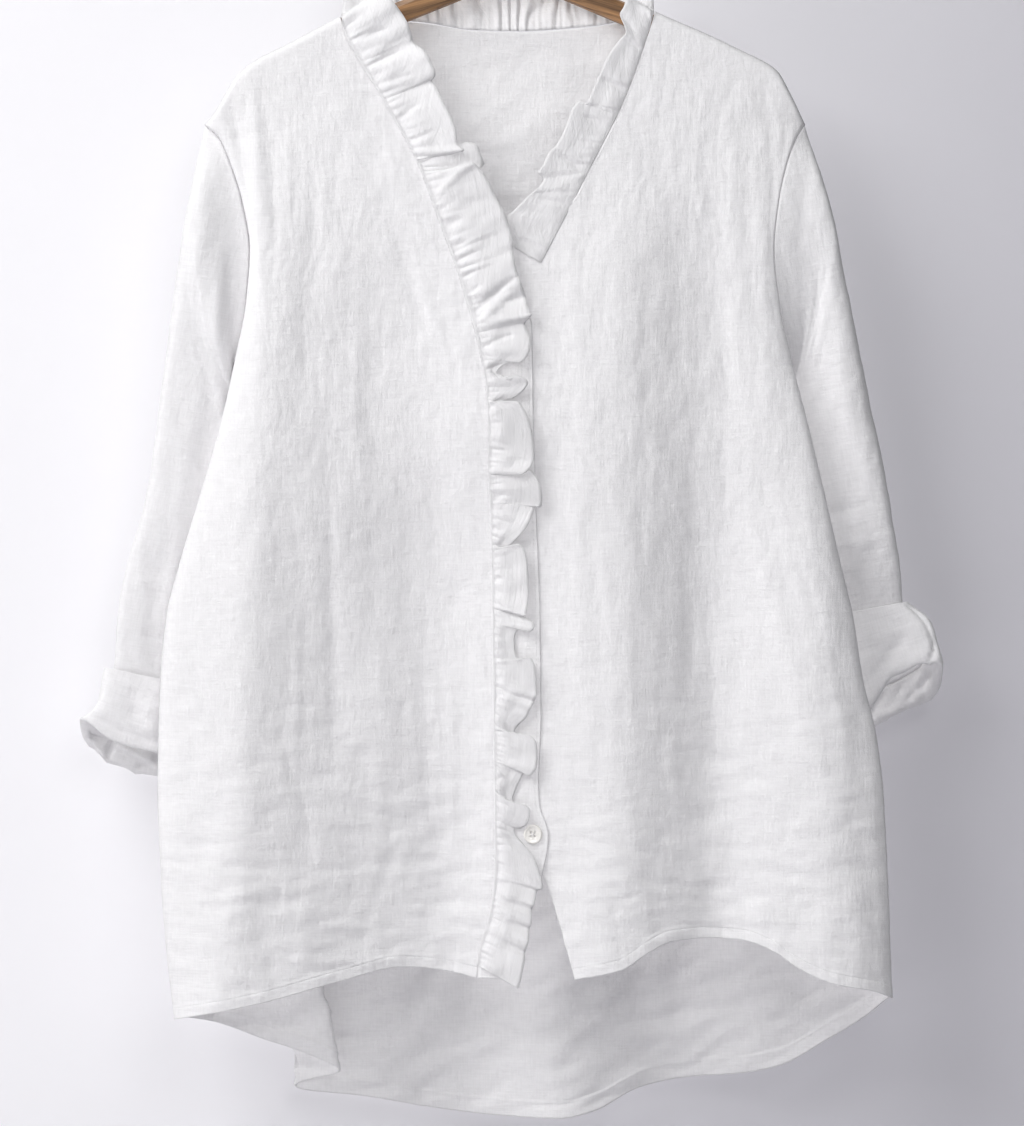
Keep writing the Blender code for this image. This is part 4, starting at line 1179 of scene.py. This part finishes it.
# %% Edges of the frills
RUFFLE_NAMES = "seam_drop x drop lift"
RUFFLE_RIGHT = columns(RUFFLE_NAMES, """
126.2 -125.6 82.4 5
130 -113.6 91.6 7
133.7 -100.2 103.4 5
138.2 -91.2 114.1 8
144.9 -84.5 122.9 6
152.4 -79.2 131.9 7
159.9 -76.3 140.7 4
164.4 -74.8 145.9 3
168.9 -67.3 151.4 7
177.9 -62 160.5 8
186.9 -59 170.9 6
189.9 -61.3 173.7 3
194.5 -57.5 179.8 5
202 -53 189.7 7
211 -46.3 202.5 8
217 -43.3 211.5 8
223.1 -42.6 221.2 7
232.1 -41.1 227.9 6
233.5 -46.3 228.4 2
234.3 -38.9 221.6 1
235.8 -29.1 221.7 3
238 -24.7 230 3
240.3 -22.4 236.7 2
242.6 -26.1 239.7 3
245.5 -29.9 236.3 9
251.5 -24.6 241.6 10
260.5 -19.4 249 9
271.1 -14.2 260.2 8
282.3 -9.7 268.5 8
293.5 -6.7 274.5 8
302.5 -3.7 283.4 7
310 -0.8 295.4 7
314.5 -0.8 301.3 6
319.8 -0 307.4 8
327.3 1.5 314.9 8
334.8 5.2 326.1 8
340.8 7.4 332 5
345.2 8.9 336.4 3
349 9.7 340.2 6
355 11.9 347.8 9
359.5 12.7 350.8 9
361.7 9.7 353.7 5
363.2 8.2 355.8 3
366.2 11.2 363.3 4
369.2 12.7 370.1 6
373.7 11.2 377.6 7
377.4 8.9 382 6
381.1 4.5 385 5
384.1 -3 385 3
387.1 -9 387.9 2
390.1 -12.7 393.1 1.5
393.1 -8.2 395.4 3
395.3 -3 398.4 5
397.6 2.2 395.5 7
400.6 7.4 397 8
403.5 10.4 400.7 7
406.5 6.7 406.6 5
409.5 0.7 411.1 3
412.5 -6.7 413.3 1.5
414.7 -10.4 414 1.5
417 -5.2 414.1 5
420 1.5 414.2 8
425.2 6.7 419.4 9
431.1 10.4 426.8 9
438.6 13.4 437.3 8
447.6 14.9 450.7 8
455 14.1 459.6 9
461 11.1 464.8 10
465.5 6.7 468.5 10
468.4 3.7 468.5 7
469.9 5.2 465.5 3
471.4 11.2 465.5 3
474.4 15.6 469.2 6
478.1 19.3 476 8
482.6 20.8 483.4 8
486.3 20.8 490.9 7
488.6 19.3 493.1 6
490.1 16.4 491.6 4
492.3 14.9 495.3 5
496.8 12.6 501.3 7
502.7 9.7 507.2 8
508.7 5.2 513.2 8
513.9 -0 518.4 7
518.4 -3.7 522.1 5
521.3 -5.2 524.3 2
523.6 -2.2 522.8 4
525.8 2.2 520.6 8
528.8 6.7 522.9 9
532.5 8.9 529.5 9
541.5 10.4 541.4 9
550.4 11.1 553.3 8
557.8 10.4 563.7 9
563.8 8.9 571.2 10
567.5 8.2 574.1 10
569.7 5.9 572.7 4
571.2 7.4 574.9 3
573.5 11.9 577.1 6
575.7 14.9 580.1 9
577.9 14.1 584.5 10
579.4 11.1 586 8
580.9 10.4 583.1 6
582.4 7.4 581.6 5
584.6 3 584.6 3
587.6 0.7 589.1 2
593.6 0.7 596.5 2.5
599.5 1.5 603.2 3
603.2 3.7 607.6 5
605.5 7.4 608.3 7
607.7 11.9 605.3 9
610.7 14.8 609.8 9
615.9 16.3 618.7 9
621.8 17.1 629.1 8
626.3 16.3 635.1 8
628.5 14.9 638.1 5
630.7 13.4 641 7
635.2 11.1 645.5 6
639.7 8.9 650 5
644.1 3.7 655.2 3
648.6 0.7 659 1.5
653 1.5 662.7 2
656.8 5.9 664.8 5
659.7 11.9 663.3 8
662.7 15.6 667 9
667.9 17.1 675.1 9
673.8 17.1 684 9
677.5 15.6 689.2 9
680.5 11.9 692.9 8
683.5 7.4 691.6 4
687.2 4.4 696.8 2
693.9 1.5 703.5 1.5
700.6 -0.8 710.9 1.5
705 0.7 714.6 3
708 4.4 715.3 6
710.2 8.9 715.2 8
713.9 11.9 719.6 9
717.6 11.1 725.6 8
721.4 8.9 730.1 6
725.1 5.2 732.4 3
728.8 0.7 732.5 1.5
732.5 0.7 736.1 2
737.7 5.2 742 4
742.9 10.4 747.9 6
748.1 14.8 753.8 7
754 17.8 761.1 8
759.9 20 768.5 8
764.4 21.5 774.5 8
767.3 20.8 777.5 7
770.3 17.1 778.3 4
774.8 16.3 783.4 6
780 14.8 789.3 8
783.7 13.3 792.4 5
788.1 13.3 797.4 8
794 12.6 804.1 8
798.5 11.1 807.9 5
801.5 11.1 813 8
807.4 9.6 820.4 8
811.8 8.1 825 5
815.5 8.1 829.2 8
820.7 6.7 836.6 8
827.4 5.2 844.1 7
834.8 3 851.6 6
""")
RUFFLE_LEFT = columns(RUFFLE_NAMES, """
122.3 103.2 82.2 4
126.8 94.2 92.8 6
131.3 86.7 106.2 5
135.8 82.2 118.3 7
140.3 79.3 124.1 4
144.8 82.2 131.7 6
149.3 83.7 137.8 7
153.8 80 142.2 5
159.8 74 149.7 6
167.3 68.8 158.8 7
176.3 63.5 170.7 6
185.4 58.3 182.7 6
192.9 54.5 190.4 8
197.4 51.6 191.6 4
201.1 48.6 189.4 5
204.9 44.1 194.1 8
210.9 40.3 203.9 8
218.4 35.8 215.1 7
224.4 31.4 222.6 7
230.4 27.6 226.4 9
234.9 24.6 230.9 8
238 20.9 238.3 7
240.2 17.9 242.8 6
242.5 21.7 247.1 3
245.5 20.9 250.9 4
250 15.7 256.3 7
256 11.9 259.3 6
267.3 4.5 266.8 6
280 -1.5 272.7 5
293.5 -5.2 276.5 5
302.5 -4.5 286.2 4
310.7 0.7 299.6 3
""")
FRILL_CREASES = columns(CREASE_NAMES, """
-122.3 146.3 -93 135 2.6 -1.8 1
-110 163 -84 152 2.2 -1.4 0
-99 178 -76 170 2 -1.3 1
-88 204 -70 192 2.4 -1.9 1
-80 220 -59 212 2.2 -1.7 0
-57 260 -27 234 3 2.2 2
-55 268 -38 262 1.8 -1.5 0
-51 284 -37 277 1.8 -1.6 0
-46.5 299.5 -34.5 295 1.8 -1.6 0
-43 310 -26 302 2 -1.3 1
-39 322.5 -28.5 316 1.8 -1.6 0
-35 334.5 -24 327 1.8 -1.6 0
-29.5 348 3.5 320 2.5 -3.6 1
-27 356 2 331 3 2 1
-23 374 0 364.5 2.2 -2.4 1
-22 391 -8 386 1.6 -1.4 0
-27 420 -12 416 1.7 -1.5 0
-27 436 -8 430 2 -1.2 1
-27 455 -14 450 1.7 -1.4 0
-26 492 -6 484 2 -1.6 1
-26 512 -12 507 1.7 -1.3 0
-25 552 -6 545 2 -1.5 1
-25 573 -14 569 1.7 -1.3 0
-25 640 -8 633 2 -1.5 1
-24 700 -8 694 2 -1.4 0
-25 757 -10 752 1.8 -1.4 0
-27 790 -12 786 1.8 -1.5 0
-31 806 -14 801 1.8 -1.4 0
-35 822 -18 818 1.8 -1.4 0
80 140 97 152 2.4 -1.6 0
64 172 86 184 2.4 -1.8 1
52 200 72 214 2.4 -1.8 1
34 230 58 244 2.6 -1.8 0
18 262 44 270 2.4 -1.5 1
2 292 24 302 2.4 -1.2 0
""")
BUTTON_THICK, LOWEST_BUTTON, BUTTON_SPACING = 2.8, 737.0, 60.0
BUTTONS = [(15.0 if i == 0 else 3.0, LOWEST_BUTTON - i * BUTTON_SPACING) for i in range(7)]
FRILL_START, FRILL_WALL, PUFF = -0.9, 0.7, 1.7
STEPS, FRILL_ACROSS = 8, (np.linspace(0, 1, 19) ** 1.25)[None, :]


def over_buttons(x, drop):
    near = [np.exp(-((np.hypot(x - at_x, drop - at_drop) / 12.5) ** 4)) for at_x, at_drop in BUTTONS]
    return np.max(near, 0) * (BUTTON_THICK + 1.2)


def frill(side, edge, seam, column, toward, behind, tucked, plump, seed):
    """A gathered strip. behind is the depth of what it lies on, tucked how far it starts under the seam, and
    plump how full its gathers are."""
    across, count = FRILL_ACROSS, len(edge["drop"])
    rows = np.interp(np.arange(STEPS * (count - 1) + 1) / STEPS, np.arange(count), edge["seam_drop"])
    points = np.stack([edge[k] for k in ("x", "drop", "lift")], -1)[:, None, :]
    free = through(points, edge["seam_drop"], rows)
    from_shoulder = ease((rows - rows[0]) / 12.0)
    sewn = FRILL_START + (tucked - FRILL_START) * from_shoulder
    start_x, start_drop = (read(seam, column, rows) - toward * sewn)[:, None], rows[:, None]
    x = start_x + (free[..., 0] - start_x) * across
    drop = start_drop + (free[..., 1] - start_drop) * across
    lift = plump * free[..., 2] * across**1.1 + 1.2 * plump * np.sin(math.pi * np.minimum(across / 0.6, 1.0))
    place = start_drop + 4 * noise(start_drop / 18, 0 * across, seed + 3)
    reach = 2.1 + 1.9 * noise(place / 9, 0 * across, seed + 4)
    puff = PUFF * np.abs(noise(place / 6.6, across * 0.8, seed)) ** 0.8 - 0.45
    puff = puff + 0.3 * noise(place / 2.6, across * 2, seed + 1)
    lift = lift + PUFF * plump * puff * (1 - across) ** reach * ease(across / 0.06)
    lift = lift + 5.2 * noise(start_drop / 11 + across, across * 1.6, seed + 2) * across * (1 - across)
    sewn_down = 1 - ease(across / 0.12)
    lift = lift + creases(FRILL_CREASES, x, drop) * ease(across / 0.1) - (LAP - 0.75) * sewn_down
    lift = np.maximum(lift, 0.15 - 0.85 * sewn_down)
    if side == "right":
        lift = np.maximum(lift, over_buttons(x, drop))
    y = -body_depth(x, drop, "front") - behind - 2.0 * (1 - from_shoulder)[:, None] - lift
    grid, on = to_grid(x, y, drop), f"front_{side}_cloth"
    cloth(f"frill_{side}", grid, wall=FRILL_WALL, lean=None)


frill("right", RUFFLE_RIGHT, SEAM_RIGHT, "x", 1, BAND_LIFT + LAP, LAP, 1.0, 200)
frill("left", RUFFLE_LEFT, EDGE_LEFT, "x", -1, 1.2, -0.3, 0.45, 210)

# %% The frill behind the neck
BACK_FRILL_HEIGHT, BACK_FRILL_LEAN, BACK_FRILL_WAVES, NECK_END = 42.0, 7.0, 19, 2
share, up = np.linspace(0, 1, 640)[None, :], np.linspace(0, 1, 17)[:, None]
x = NECK_RIGHT[0] + NECK_END + (NECK_LEFT[0] - NECK_RIGHT[0] - 2 * NECK_END) * share
seam_drop = read(BACK_NECK, "drop", x)
ends = ease(share * 16) * ease((1 - share) * 16)
phase = BACK_FRILL_WAVES * share + 1.1 * noise(share * 9, 0 * share + 0.5, 220)
phase = phase + 0.5 * noise(share * 7, up * 1.6, 224)
wave = np.sin(2 * math.pi * phase) + 0.35 * np.sin(4 * math.pi * phase + 1.0)
size = 1.8 + 1.2 * noise(share * 13, up * 1.2, 221)
y = body_depth(x, seam_drop, "back") + BACK_FRILL_LEAN * up + size * wave * ends * (0.2 + 0.8 * up**0.8)
y = y + 0.5 * noise(share * 75, up * 1.5, 222) * (1 - up)
drop = seam_drop - LAP / 2 - (BACK_FRILL_HEIGHT + 1.2 * noise(share * 24, 0 * share, 223)) * up
grid = to_grid(x + 1.5 * np.cos(2 * math.pi * phase) * up * ends, y, drop)[::-1]
cloth("frill_back", grid, wall=FRILL_WALL, lean=None)

# %% [markdown]
# ## Seams and hems
#
# The stitches are real threads here, each a short pointed spindle, because they catch the light one by
# one. They follow lines on the panels: eight millimetres above the front hems, twelve above the back's,
# along the band's edge and beside the gathers.


# %% Sew
def lifted(grid, index, axis, lift):
    """A row (axis 0) or a column (axis 1) of a grid, moved off the cloth along its normals."""
    return np.take(push(grid, np.full(grid.shape[:2], lift)), index, axis)


ON_HEM, ON_SEAM = 0.62, 0.5
stitches("stitch_hem_right", lifted(FRONT_RIGHT_GRID, -7, 0, ON_HEM))
stitches("stitch_hem_left", lifted(FRONT_LEFT_GRID, -7, 0, ON_HEM))
stitches("stitch_hem_back", lifted(BACK_GRID, -9, 0, ON_HEM))
stitches("stitch_hem_inside", lifted(BACK_GRID, -9, 0, -ON_HEM))
stitches("stitch_band", lifted(BAND_GRID, -4, 1, ON_SEAM))
stitches("stitch_gathers_right", lifted(FRONT_RIGHT_GRID, -3, 1, ON_SEAM)[14:])
stitches("stitch_gathers_left", lifted(FRONT_LEFT_GRID, 2, 1, ON_SEAM)[14:86])

# %% [markdown]
# ## Buttons
#
# Seven shell-coloured buttons close the front. Each is turned: a flat dish inside a rounded rim. Four
# holes are cut with a Boolean, and the thread crosses them. They sit on the band, and the frill passes
# over them.

# %% Button finish and shape
SHELL, shader, wire = new_finish("shell")
grain = mottle(wire, 260.0, 3.0, Distortion=1.2)
mixed(wire, grain, (0.80, 0.78, 0.74), (0.90, 0.88, 0.85)).to(shader, "Base Color")
(grain * 0.15 + 0.22).to(shader, "Roughness")
shader.inputs["Coat Weight"].default_value = 0.3


def lathe(name, profile, steps):
    """Turns a profile of (radius, height) about the Z axis."""
    bm = bmesh.new()
    line = [bm.verts.new((r * MM, 0, z * MM)) for r, z in profile]
    edges = [bm.edges.new(pair) for pair in zip(line, line[1:])]
    bmesh.ops.spin(bm, geom=line + edges, axis=(0, 0, 1), cent=(0, 0, 0), steps=steps, angle=2 * math.pi)
    bmesh.ops.remove_doubles(bm, verts=bm.verts, dist=1e-6)
    bmesh.ops.recalc_face_normals(bm, faces=bm.faces)
    mesh = bpy.data.meshes.new(name)
    bm.to_mesh(mesh)
    bm.free()
    mesh.shade_smooth()
    return add(name, mesh, SHELL)


HALF = BUTTON_THICK / 2
DISH = HALF - 0.7
profile = [(0.0, DISH), (4.4, DISH), (4.9, DISH + 0.08), (5.5, HALF - 0.12), (6.1, HALF), (6.6, HALF - 0.03)]
profile += [(7.0, HALF - 0.3), (7.25, HALF - 0.8), (7.3, 0.2), (7.1, -0.3), (5.9, -HALF), (0.0, -HALF)]
blank = lathe("button_blank", profile, 64)
HOLES = [(1.25 * sx, 1.25 * sy) for sx in (-1, 1) for sy in (-1, 1)]
drills = []
for x, y in HOLES:
    drill = lathe("drill", [(0, 3), (0.8, 3), (0.8, -3), (0, -3)], 16)
    drill.location = (x * MM, y * MM, 0)
    cut = blank.modifiers.new("Hole", "BOOLEAN")
    cut.object, cut.operation, cut.solver = drill, "DIFFERENCE", "EXACT"
    drills.append(drill)
graph = bpy.context.evaluated_depsgraph_get()
graph.update()
BUTTON_MESH = bpy.data.meshes.new_from_object(blank.evaluated_get(graph))
for spent in (*drills, blank):
    bpy.data.objects.remove(spent)
print("button faces", len(BUTTON_MESH.polygons))


# %% Place the buttons and their thread
def wire_tube(name, routes, radius, finish, bevel=3):
    """Round wires or threads along routes of points in millimetres."""
    curve = bpy.data.curves.new(name, "CURVE")
    curve.dimensions, curve.use_fill_caps = "3D", True
    curve.bevel_depth, curve.bevel_resolution = radius * MM, bevel
    for route in routes:
        spline = curve.splines.new("POLY")
        spline.points.add(len(route) - 1)
        for point, at in zip(spline.points, route):
            point.co = (*(v * MM for v in at), 1)
    return add(name, curve, finish)


def arch(a, b, rise):
    """A thread from one hole up and over to another."""
    over = []
    for t in np.arange(1, 8) / 8:
        x, y = (a[i] + (b[i] - a[i]) * t for i in (0, 1))
        over.append((x, y, DISH + rise * math.sin(math.pi * t)))
    return [(*a, DISH - 1.2), (*a, DISH), *over, (*b, DISH), (*b, DISH - 1.2)]


BAND_HALF, BUTTON_GAP = 0.6, 0.3
CROSSED = [arch(HOLES[0], HOLES[3], 0.75), arch(HOLES[1], HOLES[2], 1.05)]
for number, (x, drop) in enumerate(BUTTONS, 1):
    near = body_depth(np.array([x, x + 1.0, x]), np.array([drop, drop, drop + 1.0]), "front")
    facing = Vector((-(near[1] - near[0]), -1.0, near[2] - near[0])).normalized()
    seat = Vector((x, -near[0] - BAND_LIFT, -drop)) + facing * (BAND_HALF + BUTTON_GAP + HALF)
    piece = add(f"button_{number}_shell", BUTTON_MESH)
    thread = wire_tube(f"button_{number}_thread", CROSSED, THREAD, LINEN_THREAD)
    for obj in (piece, thread):
        obj.location, obj.rotation_euler = seat * MM, facing.to_track_quat("Z", "Y").to_euler()
    hang(piece, f"button_{number}")
    hang(thread)

# %% [markdown]
# ## The hanger
#
# The wood keeps its own solid, which is a flat sawn piece with rounded edges. Its grain runs along the
# arms, stretched noise with darker pores, under a thin varnish. The hook is bent from polished wire.

# %% Wood and steel
ARM_SLOPE = 0.285
WOOD, shader, wire = new_finish("varnished_wood")
place = wire.node("ShaderNodeTexCoord", {}, {}, "Object")
apart = wire.node("ShaderNodeSeparateXYZ", {}, {0: place}, "X")
along, thick, up = (apart.beside(axis) for axis in "XYZ")
level = up + along.node("ShaderNodeMath", {"operation": "ABSOLUTE"}, {0: along}) * ARM_SLOPE
broad, narrow = (
    wire.node("ShaderNodeCombineXYZ", {}, {0: along * long, 1: thick * fine, 2: level * fine})
    for long, fine in ((9.0, 260.0), (60.0, 1500.0))
)
bands = mottle(wire, 1.0, 5.0, Vector=broad, Distortion=0.4)
pores = mottle(wire, 1.0, 3.0, Vector=narrow)
shade = (bands - 0.5) * 2.4 + pores * 0.5 + 0.25
mixed(wire, shade, (0.035, 0.014, 0.006), (0.56, 0.30, 0.13)).to(shader, "Base Color")
(pores * 0.25 + 0.32).to(shader, "Roughness")
wire.node("ShaderNodeBump", {}, {"Strength": 0.35, "Distance": 0.0003, "Height": pores}).to(shader, "Normal")
shader.inputs["Coat Weight"].default_value = 0.25
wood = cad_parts["hanger_wood"]
wood.data.materials.clear()
wood.data.materials.append(WOOD)
wood.data.shade_smooth()
print("wood nodes", len(WOOD.node_tree.nodes))

STEEL, shader, wire = new_finish("polished_wire")
(mottle(wire, 900.0, 3.0) * 0.2 + 0.16).to(shader, "Roughness")
shader.inputs["Base Color"].default_value = (0.72, 0.72, 0.74, 1.0)
shader.inputs["Metallic"].default_value = 1.0

# %% Bend the hook
HOOK_RADIUS, HOOK_WIRE = 21.8, 3.6
middle = -(HOOK_RADIUS - HOOK_WIRE / 2)
neck = middle - HOOK_RADIUS
shank = float(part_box("hanger_hook")[0][2]) / MM
route = [(0.0, 0.0, shank)]
route += [(x, 0.0, neck - below) for x, below in ((0.0, 10.0), (0.2, 6.5), (0.8, 3.5), (2.2, 1.2))]
for degrees in range(-79, 199, 4):
    angle = math.radians(degrees)
    route.append((HOOK_RADIUS * math.cos(angle), 0.0, middle + HOOK_RADIUS * math.sin(angle)))
hook = wire_tube("hook_wire", [route], HOOK_WIRE / 2, STEEL, bevel=8)
for back_from_tip, size in ((1, 0.62), (2, 0.92)):
    hook.data.splines[0].points[-back_from_tip].radius = size
hang(hook, "hanger_hook")
print("points along the hook", len(route))

# %% [markdown]
# ## Room, light and camera
#
# A pale wall stands just behind, and one large soft light comes from the left. The paint on the wall and
# floor is darker towards the right and lower down: painted shade for the light's falloff and the tunic's
# soft shadow. Seen from behind, the wall lets the view through. The camera stands far off with a long
# lens, so the tunic shows with little perspective.

# %% Room
ROOM, WALL_Y, WALL_TOP, FLOOR_Z = 4000, 80, 2500, -1450
PAINT_AND_SHADE, shader, wire = new_finish("pale_paint_and_painted_shade")
place = wire.node("ShaderNodeTexCoord", {}, {}, "Object")
across = wire.node("ShaderNodeSeparateXYZ", {}, {0: place}, "X")
# Painted shade: the paint darkens towards the right and downwards, for the light's falloff and the tunic's
# shadow on the wall.
away = {0: across - across.beside("Z") * 0.2, 1: -0.2, 2: 0.58, 3: 0.0, 4: 1.0}
fall = wire.node("ShaderNodeMapRange", {"interpolation_type": "SMOOTHSTEP"}, away)
shade = fall * 0.95 + mottle(wire, 1.6, 2.0) * 0.1
mixed(wire, shade, (0.94, 0.93, 0.955), (0.64, 0.63, 0.67)).to(shader, "Base Color")
shader.inputs["Roughness"].default_value = 0.95
shader.inputs["Specular IOR Level"].default_value = 0.1
facing = wire.node("ShaderNodeNewGeometry", {}, {}, "Backfacing")
clear = wire.node("ShaderNodeBsdfTransparent", {}, {}, "BSDF")
solid = Wire(wire.tree, shader.outputs["BSDF"])
seen = wire.node("ShaderNodeMixShader", {}, {0: facing, 1: solid, 2: clear}, "Shader")
seen.to(wire.tree.nodes["Material Output"], "Surface")


def slab(name, ys, zs):
    """A sheet as wide as the room, from one y and z to another."""
    corners = [(x, ys[i], zs[i]) for x, i in ((-ROOM, 0), (ROOM, 0), (ROOM, 1), (-ROOM, 1))]
    obj = add(name, mesh_of(name, np.array(corners), [(0, 1, 2, 3)]), PAINT_AND_SHADE)
    return obj


wall = slab("wall", (WALL_Y, WALL_Y), (FLOOR_Z, WALL_TOP))
slab("floor", (-ROOM, ROOM), (FLOOR_Z, FLOOR_Z))
wall.visible_shadow = wall.visible_diffuse = False
print("paint nodes", len(wire.tree.nodes))

# %% Light
world = bpy.data.worlds.new("soft_room")
bpy.context.scene.world = world
world.use_nodes = True
world.node_tree.nodes["Background"].inputs["Color"].default_value = (0.97, 0.98, 1.0, 1.0)
world.node_tree.nodes["Background"].inputs["Strength"].default_value = 0.19


def lamp(name, location, size, energy, shadows=True):
    data = bpy.data.lights.new(name, "AREA")
    data.shape, data.size, data.energy, data.use_shadow = "SQUARE", size, energy, shadows
    obj = add(name, data)
    obj.location = location
    obj.rotation_euler = (Vector((0, 0, -0.5)) - obj.location).to_track_quat("-Z", "Y").to_euler()
    print(name, energy, "W")


lamp("window", (-2.3, -2.3, 2.2), 2.6, 84.0)
lamp("window_glow", (-2.5, -2.1, 2.1), 2.2, 76.0, shadows=False)
lamp("front_fill", (0.9, -4.4, 1.3), 1.8, 26.0)
lamp("behind", (-1.0, 3.6, 0.6), 1.6, 60.0)
bpy.context.scene.view_settings.view_transform = "Standard"

# %% Camera
lens = bpy.data.cameras.new("camera")
lens.lens, lens.sensor_width, lens.clip_end = 250.0, 36.0, 100.0
camera = add("camera", lens)
camera.location, camera.rotation_euler = (-0.0015, -5.865, -0.5348), (math.radians(90), 0, 0)
bpy.context.scene.camera = camera
print("camera at", tuple(camera.location))

# %% [markdown]
# ## Finish

# %% The end
bpy.context.view_layer.update()
